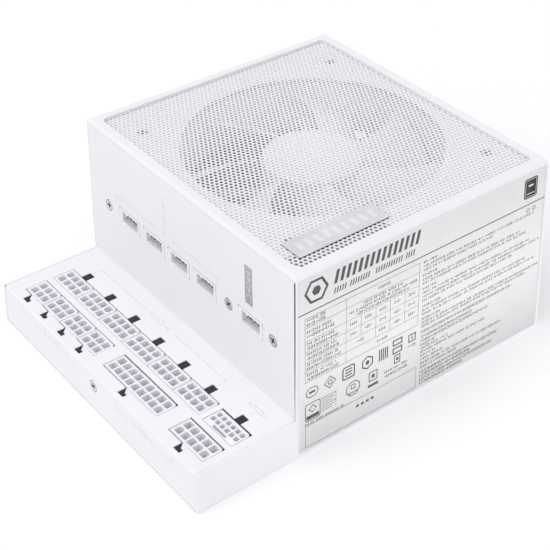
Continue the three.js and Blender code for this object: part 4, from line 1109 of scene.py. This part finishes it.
flat_head = [(2.36, -0.12), (1.4, -0.95)]
for k, (x, z) in enumerate(WALL_SCREWS):
    bm = bmesh.new()
    screw_mesh(bm, lambda u, v, w, x=x, z=z: (x + u, YS - w, z + v), 2.42, -0.04, flat_head, 7.8, turn=0.2 + k * 0.5)
    piece(f"wall_fastener_{k + 1}", bm, ["screw", "recess"], replaces=(f"wall_screw_{k + 1}",), mods=(bevel(0.05, 1, 60), weighted))
bm = bmesh.new()
screw_mesh(bm, lambda u, v, w: (LEDGE_SCREW[0] + u, YF - w, LEDGE_SCREW[1] + v), 2.42, -0.04, flat_head, 4.8, turn=0.5)
piece("ledge_fastener", bm, ["screw", "recess"], replaces=("ledge_screw",), mods=(bevel(0.05, 1, 60), weighted))

# ------------------------------------------------------------------------ fan
FS = [(-1, -1), (1, -1), (1, 1), (-1, 1)]
FP = [(a * 52.5, FAN_Y + b * 52.5) for a, b in FS]
for k, (x, y) in enumerate(FP):
    bm = bmesh.new()
    screw_mesh(bm, lambda u, v, w, x=x, y=y: (x + u, y + v, 82.7 + w), 2.7, 0.05, [(3.4, -0.25), (3.65, -0.75), (3.6, -1.25), (1.9, -1.3)], 8.2, L=1.7, w=0.42, turn=0.4 * k)
    piece(f"fan_fastener_{k + 1}", bm, ["screw", "recess"], replaces=(f"fan_screw_{k + 1}",), mods=(bevel(0.06, 1, 60), weighted))

# Bracket: plate with a round intake opening and four pressed seats for the screws, and a dark strip in a cut-out beside
# the badge that paints the badge's shadow on the plate below the mesh.
bm = bmesh.new()
prism(bm, [rrect(-72.3, 72.3, -42.9, 89.9, 2.5, 4), circle(0, FAN_Y, 57.0, 96), rrect(60.2, 70.6, -40.6, 8.2, 1.5, 3)] + [circle(x, y, 2.3, 20) for x, y in FP], 83.02, 83.98, XY)
for x, y in FP:
    lathe(bm, [(4.2, 83.4), (4.0, 83.3), (3.85, 81.35), (2.3, 81.35), (2.3, 80.65), (4.9, 80.65), (4.9, 83.02), (4.2, 83.02)], 24, (x, y, 0), closed=True)
# Dark strip filling the cut-out: painted shadow of the badge on the plate below the mesh.
prism(bm, [rrect(60.22, 70.58, -40.58, 8.18, 1.48, 3)], 83.05, 83.9, XY, 1)
piece("bracket_plate", bm, ["coat_in", "pad"], replaces=("fan_bracket",), mods=(bevel(0.12, 1, 50), weighted))

# Frame: two flanges joined by a ring, four corner bosses, a strutted motor base.
bm = bmesh.new()
Hh = 60.0
sq = rrect(-Hh, Hh, FAN_Y - Hh, FAN_Y + Hh, 5.0, 5)
holes = [circle(x, y, 2.3, 16) for x, y in FP]
prism(bm, [sq, circle(0, FAN_Y, 57.0, 96)] + [circle(x, y, 5.4, 20) for x, y in FP], 80.4, 81.4, XY)
prism(bm, [sq, circle(0, FAN_Y, 58.9, 96)] + [circle(x, y, 5.4, 20) for x, y in FP], 81.4, 83.0, XY)
prism(bm, [sq, circle(0, FAN_Y, 57.0, 96)] + holes, 58.0, 60.8, XY)
prism(bm, [circle(0, FAN_Y, 59.4, 96), circle(0, FAN_Y, 57.0, 96)], 60.8, 80.4, XY)
for (x, y), h in zip(FP, holes):
    prism(bm, [circle(x, y, 5.6, 20), h], 60.8, 80.4, XY)
prism(bm, [circle(0, FAN_Y, 22.6, 48), circle(0, FAN_Y, 4.2, 24)], 58.0, 60.4, XY)
for k in range(4):
    a = math.pi / 4 + k * math.pi / 2 + 0.16
    c, s = math.cos(a), math.sin(a)
    prof = [(20.5, -1.6), (57.6, -2.4), (57.6, 2.4), (20.5, 1.6)]
    prism(bm, [[(u * c - v * s, FAN_Y + u * s + v * c) for u, v in prof]], 58.0, 60.4, XY)
for k in range(12):
    a = 2 * math.pi * k / 12 + 0.1
    c, s = math.cos(a), math.sin(a)
    prof = [(58.9, -0.6), (60.6 if abs(c) < 0.97 and abs(s) < 0.97 else 59.95, -0.6), (60.6 if abs(c) < 0.97 and abs(s) < 0.97 else 59.95, 0.6), (58.9, 0.6)]
    prism(bm, [[(u * c - v * s, FAN_Y + u * s + v * c) for u, v in prof]], 60.8, 80.4, XY)
piece("fan_housing", bm, "fan", replaces=("fan_frame",), weld=0, mods=(bevel(0.35, 2, 50), weighted))

# Rotor: capped hub, shaft, magnet ring and seven lofted blades.
bm = bmesh.new()
lathe(bm, [(0, 77.55), (13.6, 77.55), (14.1, 77.95), (20.2, 77.95), (21.6, 77.5), (22.4, 76.4), (22.4, 62.0), (21.0, 62.0), (21.0, 75.9), (1.5, 75.9),
           (1.5, 61.8), (0, 61.6)], 64, (0, FAN_Y, 0))
lathe(bm, [(20.95, 63.0), (19.4, 63.0), (19.4, 75.2), (20.95, 75.2)], 48, (0, FAN_Y, 0), mat=1, closed=True)
NS, NC = 14, 10
for k in range(7):
    grid_t, grid_b = [], []
    for i in range(NS + 1):
        s = i / NS
        r = 22.0 + s * (55.1 - 22.0)
        lead = 82 + 360 / 7 * k + 17.5 * s ** 1.2
        w = 38 - 20 * s + 9 * s * s
        rt, rb = [], []
        for j in range(NC + 1):
            q = j / NC
            t = math.radians(lead - w * (1 - q) - (2.2 * (1 - q) * max(0.0, s - 0.82) / 0.18) + (-1.6 * q * max(0.0, s - 0.86) / 0.14))
            z = 63.0 + 13.4 * q + 4 * 1.3 * q * (1 - q) + 0.5 * s * q
            th = 0.22 + 0.62 * math.sin(math.pi * min(1.0, q * 0.85 + 0.12)) * (1.15 - 0.45 * s)
            p = (r * math.cos(t), FAN_Y + r * math.sin(t))
            rt.append(bm.verts.new(v3((*p, z + th * 0.6))))
            rb.append(bm.verts.new(v3((*p, z - th * 0.6))))
        grid_t.append(rt)
        grid_b.append(rb)
    for i in range(NS):
        for j in range(NC):
            bm.faces.new((grid_t[i][j], grid_t[i + 1][j], grid_t[i + 1][j + 1], grid_t[i][j + 1]))
            bm.faces.new((grid_b[i][j + 1], grid_b[i + 1][j + 1], grid_b[i + 1][j], grid_b[i][j]))
        bm.faces.new((grid_t[i][0], grid_b[i][0], grid_b[i + 1][0], grid_t[i + 1][0]))
        bm.faces.new((grid_t[i + 1][NC], grid_b[i + 1][NC], grid_b[i][NC], grid_t[i][NC]))
    for j in range(NC):
        bm.faces.new((grid_t[0][j], grid_t[0][j + 1], grid_b[0][j + 1], grid_b[0][j]))
        bm.faces.new((grid_t[NS][j + 1], grid_t[NS][j], grid_b[NS][j], grid_b[NS][j + 1]))
piece("rotor_blades", bm, ["fan", "ferrite"], body="rotor", replaces=("fan_rotor",), weld=0,
      mods=(bevel(0.16, 2, 55), weighted))

# Bearing sleeve and wound stator on a laminated core.
bm = bmesh.new()
lathe(bm, [(1.95, 60.5), (3.4, 60.5), (4.0, 61.0), (4.0, 73.4), (3.5, 73.9), (1.95, 73.9)], 32, (0, FAN_Y, 0), closed=True)
piece("bearing_sleeve", bm, "brass", replaces=("fan_bearing",), mods=(bevel(0.12, 1, 40), weighted))
bm = bmesh.new()
for k in range(4):
    a = k * math.pi / 2
    c, s = math.cos(a), math.sin(a)
    T = lambda u, v, w, c=c, s=s: (u * c - v * s, FAN_Y + u * s + v * c, w)
    prism(bm, [[(7.5, -2.0), (15.5, -2.0), (15.5, 2.0), (7.5, 2.0)]], 64.2, 69.2, T, 1)
    arc_ = [(18.4 * math.cos(math.radians(q)), 18.4 * math.sin(math.radians(q))) for q in range(-34, 35, 4)]
    arc_ += [(15.6 * math.cos(math.radians(q)), 15.6 * math.sin(math.radians(q))) for q in range(34, -35, -4)]
    prism(bm, [arc_], 64.2, 69.2, T, 1)
    for j in range(9):
        u = 8.2 + j * 0.78
        pts = []
        for q in range(13):
            ang = 2 * math.pi * q / 12
            ex = lambda v_, p_: math.copysign(abs(v_) ** p_, v_)
            pts.append(T(u, 3.3 * ex(math.cos(ang), 0.6), 66.7 + 3.9 * ex(math.sin(ang), 0.6)))
        sweep(bm, pts, 0.42, 6, 0, cap=False)
lathe(bm, [(4.1, 62.4), (8.4, 62.4), (8.4, 71.2), (4.1, 71.2)], 32, (0, FAN_Y, 0), mat=2, closed=True)
piece("stator_windings", bm, ["copper", "steel", "black"], replaces=("fan_stator",), weld=0)

# ------------------------------------------------------------------- the rear
YW = lambda u, v, w: (u, Y1 + w, v)
bm = bmesh.new()
fl = rrect(ix - 15.5, ix + 15.5, iz - 12.2, iz + 12.2, 2.6, 5)
mouth = cham(ix - 12.1, ix + 12.1, iz - 8.3, iz + 8.3, 4.2, (0, 0, 1, 1))
fl = [(u, v) for u, v in fl]
vt, _ = fill(bm, [fl, mouth], lambda u, v: (u, Y1 + 2.35, v), (0, 1, 0))
body = cham(ix - 13.3, ix + 13.3, iz - 9.7, iz + 9.7, 3, (0, 0, 1, 1))
vm, _ = fill(bm, [fl, body], lambda u, v: (u, Y1 + 0.02, v), (0, -1, 0))
walls(bm, vt[0], vm[0])
vb, _ = fill(bm, [body], lambda u, v: (u, Y1 - 18.4, v), (0, -1, 0))
walls(bm, vm[1], vb[0])
vc, _ = fill(bm, [mouth], lambda u, v: (u, Y1 - 15.5, v), (0, 1, 0))
walls(bm, vt[1], vc[0])
for dx, dz in ((-7, -2), (7, -2), (0, 2)):
    prism(bm, [rrect(ix + dx - 1, ix + dx + 1, iz + dz - 2, iz + dz + 2, 0.25, 2)], Y1 - 16 - Y1, -2.4, YW, 1)
    prism(bm, [[(ix + dx - 0.75, iz + dz - 1.7), (ix + dx + 0.75, iz + dz - 1.7), (ix + dx + 0.75, iz + dz + 1.7), (ix + dx - 0.75, iz + dz + 1.7)]], -2.45, -1.5, YW, 1)
for dx, dz in ((-7, -1), (7, -1), (0, 1)):
    prism(bm, [rect(ix + dx - 0.4, ix + dx + 0.4, iz + dz - 3.1, iz + dz + 3.1), circle(ix + dx, iz + dz, 0.28, 8)], -25.5, -18.2, YW, 1)
piece("inlet_shell", bm, ["black", "pin"], replaces=("ac_inlet",), mods=(bevel(0.3, 3, 50), weighted))

bm = bmesh.new()
bez = rrect(sx - 7.6, sx + 7.6, sz - 10.8, sz + 10.8, 1.4, 4)
cav = rect(sx - 5.1, sx + 5.1, sz - 8.9, sz + 8.9)
vt, _ = fill(bm, [bez, cav], lambda u, v: (u, Y1 + 1.95, v), (0, 1, 0))
body = rect(sx - 6.5, sx + 6.5, sz - 9.6, sz + 9.6)
vm, _ = fill(bm, [bez, body], lambda u, v: (u, Y1 + 0.02, v), (0, -1, 0))
walls(bm, vt[0], vm[0])
vb, _ = fill(bm, [body], lambda u, v: (u, Y1 - 13.9, v), (0, -1, 0))
walls(bm, vm[1], vb[0])
vc, _ = fill(bm, [cav], lambda u, v: (u, Y1 - 9.5, v), (0, 1, 0))
walls(bm, vt[1], vc[0])
for s in (-1, 1):
    a, b = sorted((s * 2.8, s * 3.6))
    prism(bm, [[(sx + a, sz - 3), (sx + b, sz - 3), (sx + b, sz + 3), (sx + a, sz + 3)]], -19.8, -13.8, YW, 1)
piece("switch_bezel", bm, ["black", "pin"], replaces=("switch_housing",), mods=(bevel(0.25, 3, 50), weighted))

# Rocker: curved pad with an open ring on one half and a bar on the other.
bm = bmesh.new()
lean = math.radians(-10)
prof = []
for i in range(13):
    v = -7.5 + 15 * i / 12
    prof.append((Y1 + 2.45 + 1.55 * (v / 7.5) ** 2, v))
prof += [(Y1 + 0.2, 7.6), (Y1 - 4.5, 4.4), (Y1 - 4.5, -4.4), (Y1 + 0.2, -7.6)]
c, s = math.cos(lean), math.sin(lean)
PV = Y1 - 1.0
ROT = lambda w, y, z: (w, PV + (y - PV) * c - z * s, sz + (y - PV) * s + z * c)
prism(bm, [prof], sx - 4.65, sx + 4.65, lambda u, v, w: ROT(w, u, v))
surf = lambda v: Y1 + 2.45 + 1.55 * (v / 7.5) ** 2
for k in range(20):
    a0, a1 = 2 * math.pi * k / 20, 2 * math.pi * (k + 1) / 20
    q = [(1.55, a0), (1.55, a1), (1.15, a1), (1.15, a0)]
    pts = [(sx + r * math.cos(a), -4.2 + r * math.sin(a)) for r, a in q]
    f = bm.faces.new([bm.verts.new(v3(ROT(u, surf(v) + 0.04, v))) for u, v in pts])
    f.material_index = 1
f = bm.faces.new([bm.verts.new(v3(ROT(sx + u, surf(v) + 0.04, v))) for u, v in ((-0.22, 2.9), (0.22, 2.9), (0.22, 5.7), (-0.22, 5.7))])
f.material_index = 1
lathe(bm, [(0, -5.5), (1.05, -5.5), (1.05, 5.5), (0, 5.5)], 20, (sx, PV, sz), axis="x")
piece("rocker_pad", bm, ["black", "label"], body="rocker", replaces=("rocker_button",), weld=0, recalc=True,
      mods=(bevel(0.3, 3, 60), weighted))

# ------------------------------------------------------------------- interior
TZ = 9.6


def node_look(name, mat, bev=None):
    """A node that is shown as it was modelled, with its edges softened."""
    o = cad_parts[name]
    o.data.materials.clear()
    o.data.materials.append(M[mat])
    if bev:
        bevel(bev, 2, 40)(o)
        weighted_mod(o)
    return o


def choke(name, node, cx, cy, R, r, turns, gap, wire):
    bm = bmesh.new()
    zc = TZ + 0.35 + r * 1.15
    prof = [(R + (r - 0.9) * math.cos(math.radians(a)), zc + (r - 0.9) * 1.12 * math.sin(math.radians(a))) for a in range(0, 360, 30)]
    lathe(bm, prof, 40, (cx, cy, 0), closed=True, mat=1)
    for t in range(turns):
        a = 2 * math.pi * (t + 0.5) / turns
        if gap and abs(math.sin(a)) < 0.18:
            continue
        pts = []
        for q in range(15):
            g = 2 * math.pi * q / 14
            rr = R + (r - wire * 0.5) * math.cos(g)
            aa = a + (2 * math.pi / turns) * 0.45 * (q / 14 - 0.5)
            pts.append((cx + rr * math.cos(aa), cy + rr * math.sin(aa), zc + (r - wire * 0.5) * 1.13 * math.sin(g)))
        sweep(bm, pts, wire * 0.5, 6, 0, cap=True)
    for dx in (-0.6, 0.6):
        for dy in (-0.5, 0.5):
            sweep(bm, [(cx + dx * R, cy + dy * R, TZ + 0.05), (cx + dx * R, cy + dy * R, zc)], wire * 0.5, 8, 0)
    prism(bm, [rrect(cx - R - r * 0.7, cx + R + r * 0.7, cy - R * 0.8, cy + R * 0.8, 1.5, 3)], TZ + 0.02, TZ + 0.9, XY, 2)
    piece(name, bm, ["copper", "ferrite_green", "black"], replaces=(node,), weld=0)


choke("filter_choke", "emi_choke", 50, 54, 8.5, 4.5, 26, True, 1.5)
choke("boost_choke", "pfc_choke", -16, 64, 12, 6, 34, False, 1.5)


def can(name, node, cx, cy, R, h, mat, vent=True):
    """An electrolytic capacitor: sleeve, rolled groove, scored aluminium top."""
    bm = bmesh.new()
    g = R * 0.955
    lathe(bm, [(0, TZ), (R * 0.92, TZ), (R, TZ + 0.8), (R, TZ + h * 0.055), (g, TZ + h * 0.085), (R, TZ + h * 0.115), (R, TZ + h - 1.2),
               (R - 0.35, TZ + h - 0.35), (R - 1.1, TZ + h - 0.05), (R - 1.35, TZ + h - 0.12)], 48, (cx, cy, 0))
    lathe(bm, [(R - 1.35, TZ + h - 0.12), (R - 1.6, TZ + h - 0.3), (0, TZ + h - 0.3)], 48, (cx, cy, 0), mat=1)
    if vent:
        for a in (0.5, 0.5 + math.pi / 2):
            c_, s_ = math.cos(a), math.sin(a)
            L_, w_ = R * 0.62, R * 0.018
            prism(bm, [[(cx + u * c_ - v * s_, cy + u * s_ + v * c_) for u, v in ((-L_, -w_), (L_, -w_), (L_, w_), (-L_, w_))]], TZ + h - 0.42, TZ + h - 0.26, XY, 2)
    # plain pale stripe down the negative side
    n = 6
    for i in range(n):
        a0, a1 = 2.6 + i * 0.07, 2.6 + (i + 1) * 0.07
        q = [(R + 0.02, a0, TZ + h * 0.13), (R + 0.02, a1, TZ + h * 0.13), (R + 0.02, a1, TZ + h - 1.3), (R + 0.02, a0, TZ + h - 1.3)]
        f = bm.faces.new([bm.verts.new(v3((cx + r * math.cos(a), cy + r * math.sin(a), z))) for r, a, z in q])
        f.material_index = 3
    piece(name, bm, [mat, "aluminium", "black", "label"], replaces=(node,), weld=1e-7)


can("bulk_can_1", "bulk_capacitor_1", 20, 28, 14.95, 45, "sleeve")
can("bulk_can_2", "bulk_capacitor_2", 52, 20, 14.95, 45, "sleeve")
can("output_can", "output_capacitor", -56, -20, 4.97, 20, "sleeve")


def wound_core(name, node, box_, legs, coil, mats, tape):
    """A transformer or inductor: core halves, round winding with tape, bobbin flanges."""
    x0, x1, y0, y1, z0, z1, t, along = box_
    bm = bmesh.new()
    boxm(bm, x0, x1, y0, y1, z0, z0 + t)
    boxm(bm, x0, x1, y0, y1, z1 - t, z1)
    boxm(bm, x0, x1, y0, y0 + legs, z0 + t, z1 - t)
    boxm(bm, x0, x1, y1 - legs, y1, z0 + t, z1 - t)
    cx, cy, r, zb, zt = coil
    lathe(bm, [(0, zb), (r * 0.98, zb), (r * 0.98, zb + 1.0), (r * 0.9, zb + 1.1), (r * 0.94, zb + 2.2), (r * 0.94, zt - 2.2), (r * 0.9, zt - 1.1), (r * 0.98, zt - 1.0), (r * 0.98, zt), (0, zt)],
          40, (cx, cy, 0), mat=1)
    n = int((zt - zb - 5) / 1.1)
    for k in range(n):
        z = zb + 2.8 + k * 1.1
        pts = [(cx + (r * 0.955) * math.cos(a * math.pi / 14), cy + (r * 0.955) * math.sin(a * math.pi / 14), z) for a in range(29)]
        sweep(bm, pts, 0.46, 6, 2, cap=False)
    for dx in (-1, 1):
        for k in range(4):
            px_ = cx + dx * r * 0.75
            py_ = cy + (k - 1.5) * r * 0.36
            sweep(bm, [(px_, py_, TZ + 0.02), (px_, py_, zb + 2.0)], 0.35, 8, 3)
    # a thin strip of tape on the core's -Y face
    w = tape
    for (a, b, c_, d) in ((x0 - 0.0, x1 + 0.0, cy - w, cy + w),):
        boxm(bm, x0 + 1.5, x1 - 1.5, y0 - 0.0, y0 + 0.25, z0 + 0.6, z1 - 0.6, 1)
    piece(name, bm, mats, replaces=(node,), weld=0, mods=(bevel(0.22, 2, 45), weighted))


wound_core("main_transformer_core", "main_transformer", (-32, 3, 4, 40, TZ + 3, TZ + 34, 8, 0), 5, (-14.5, 22, 12.4, TZ + 0.4, TZ + 30), ["ferrite", "tape", "copper", "pin"], 6)
wound_core("resonant_core", "resonant_inductor", (40, 60, -18, 2, TZ + 2, TZ + 22, 5, 0), 3, (50, -8, 6.4, TZ + 0.3, TZ + 20), ["ferrite", "tape", "copper", "pin"], 4)

# Film capacitor, rectifier, standby transformer, heatsinks, boards, bars.
bm = bmesh.new()
prism(bm, [rrect(10, 34, 58, 68, 1.2, 4)], TZ + 0.6, TZ + 18, XY)
for x in (13.0, 31.0):
    sweep(bm, [(x, 63, TZ + 0.02), (x, 63, TZ + 1.5)], 0.4, 8, 1)
for x in (11.2, 32.8):
    prism(bm, [circle(x, 60.0, 0.6, 10)], TZ + 0.02, TZ + 0.7, XY)
    prism(bm, [circle(x, 66.0, 0.6, 10)], TZ + 0.02, TZ + 0.7, XY)
rng = random.Random(3)
for j, z in enumerate((TZ + 13.5, TZ + 10.8, TZ + 8.1)):
    greek(bm, 13.0, 30.0, z, 1.6, rng, fr=lambda u, v, w: (u, 58.02 - w, v), mat=2, pitch=1.3, stroke=0.4, t=0.015)
piece("film_capacitor", bm, ["tape", "pin", "ink_grey"], replaces=("x_capacitor",), weld=0, mods=(bevel(0.3, 3, 50), weighted))

node_look("standby_transformer", "tape", 0.35)
node_look("primary_heatsink", "aluminium", 0.2)
node_look("secondary_heatsink", "aluminium", 0.2)
node_look("bridge_rectifier", "black", 0.3)
node_look("insulation_sheet", "film")
node_look("main_board", "board", 0.12)
node_look("modular_board", "board_black", 0.12)
node_look("data_board", "board", 0.12)
node_look("dc_dc_board", "board", 0.12)
node_look("bus_bar_12v", "copper_bar", 0.2)
node_look("bus_bar_ground", "copper_bar", 0.2)
node_look("fan_cable", "sleeve")

# ------------------------------------------------------------- camera and light
cam_data = bpy.data.cameras.new("camera")
cam = bpy.data.objects.new("camera", cam_data)
scene.collection.objects.link(cam)
AZ, EL, ROLL, DIST = math.radians(51.842), math.radians(25.015), math.radians(-0.102), 649.046
F_PX, OX, OY, CX, CY = 1498.831, 15.483, 111.644, 305.069, -16.403
back = Vector((math.sin(AZ) * math.cos(EL), -math.cos(AZ) * math.cos(EL), math.sin(EL)))
xr = Vector((0, 0, 1)).cross(back).normalized()
yu = back.cross(xr)
loc = Vector((0, 0, 43)) + back * DIST + xr * OX + yu * OY
xr2 = xr * math.cos(ROLL) + yu * math.sin(ROLL)
yu2 = -xr * math.sin(ROLL) + yu * math.cos(ROLL)
rot = Matrix((xr2, yu2, back)).transposed()
cam.matrix_world = Matrix.Translation(loc * MM) @ rot.to_4x4()
cam_data.sensor_fit = "HORIZONTAL"
cam_data.sensor_width = 36.0
cam_data.lens = F_PX / 550.0 * 36.0
cam_data.clip_start = 0.01
cam_data.clip_end = 20.0
SHIFT_X, SHIFT_Y = (275.0 - CX) / 550.0, (CY - 275.0) / 550.0
for prop, value in (("shift_x", SHIFT_X), ("shift_y", SHIFT_Y)):
    setattr(cam_data, prop, value)
    d = cam_data.driver_add(prop).driver
    d.type = "SCRIPTED"
    for nm, axis in (("x", "LOC_X"), ("y", "LOC_Y"), ("z", "LOC_Z")):
        v = d.variables.new()
        v.name = nm
        v.type = "TRANSFORMS"
        v.targets[0].id = cam
        v.targets[0].transform_type = axis
        v.targets[0].transform_space = "WORLD_SPACE"
    L = loc * MM
    d.expression = f"{value:.6f} if abs(x - {L.x:.6f}) + abs(y - {L.y:.6f}) + abs(z - {L.z:.6f}) < 0.0005 else 0.0"
scene.camera = cam

world = bpy.data.worlds.new("studio")
scene.world = world
world.use_nodes = True
bg = world.node_tree.nodes["Background"]
bg.inputs[0].default_value = (0.97, 0.975, 1.0, 1.0)
bg.inputs[1].default_value = 0.72
wn = world.node_tree
direct = wn.nodes.new("ShaderNodeLightPath")
level = wn.nodes.new("ShaderNodeMapRange")
level.inputs["To Min"].default_value = 0.72
level.inputs["To Max"].default_value = 1.02
wn.links.new(direct.outputs["Is Camera Ray"], level.inputs["Value"])
wn.links.new(level.outputs[0], bg.inputs[1])


def area(name, pos, target, size, power, color=(1, 1, 1)):
    d = bpy.data.lights.new(name, "AREA")
    d.shape = "RECTANGLE"
    d.size, d.size_y = size
    d.energy = power
    d.color = color
    o = bpy.data.objects.new(name, d)
    o.location = pos
    o.rotation_euler = (Vector(target) - Vector(pos)).to_track_quat("-Z", "Y").to_euler()
    scene.collection.objects.link(o)
    return o


sun = bpy.data.lights.new("key_top", "SUN")
sun.energy = 1.2
sun.angle = math.radians(80)
key = bpy.data.objects.new("key_top", sun)
key.rotation_euler = (Vector((0, 0, 0)) - Vector((0.06, -0.47, 1.1))).to_track_quat("-Z", "Y").to_euler()
scene.collection.objects.link(key)
area("fill_right", (0.9, 0.12, 0.04), (0, 0.04, 0.04), (1.2, 0.3), 0.66, (1.0, 0.985, 0.95))
card = area("card_right", (0.15, 0.065, 0.006), (0.075, 0.065, 0.004), (0.2, 0.011), 0.0125)
card.visible_camera = False
bay = area("fill_bay", (0.0, FAN_Y * MM, 0.0837), (0, FAN_Y * MM, 0.0), (0.104, 0.104), 0.0088)
bay.visible_camera = False

bm = bmesh.new()
fill(bm, [rect(-4000, 4000, -4000, 4000)], lambda u, v: (u, v, -0.02), (0, 0, 1))
me = bpy.data.meshes.new("floor")
bm.to_mesh(me)
bm.free()
floor = bpy.data.objects.new("floor", me)
scene.collection.objects.link(floor)
fm = Nodes("floor_pale")
fm.color(fm.ramp(fm.noise(6.0, 3.0), [(0.2, (0.96, 0.96, 0.96)), (0.8, (0.97, 0.97, 0.97))]))
fm.rough(fm.span(fm.noise(40.0), 0.7, 0.8))
me.materials.append(fm.mat)
scene.view_settings.view_transform = "Standard"
scene.view_settings.look = "None"
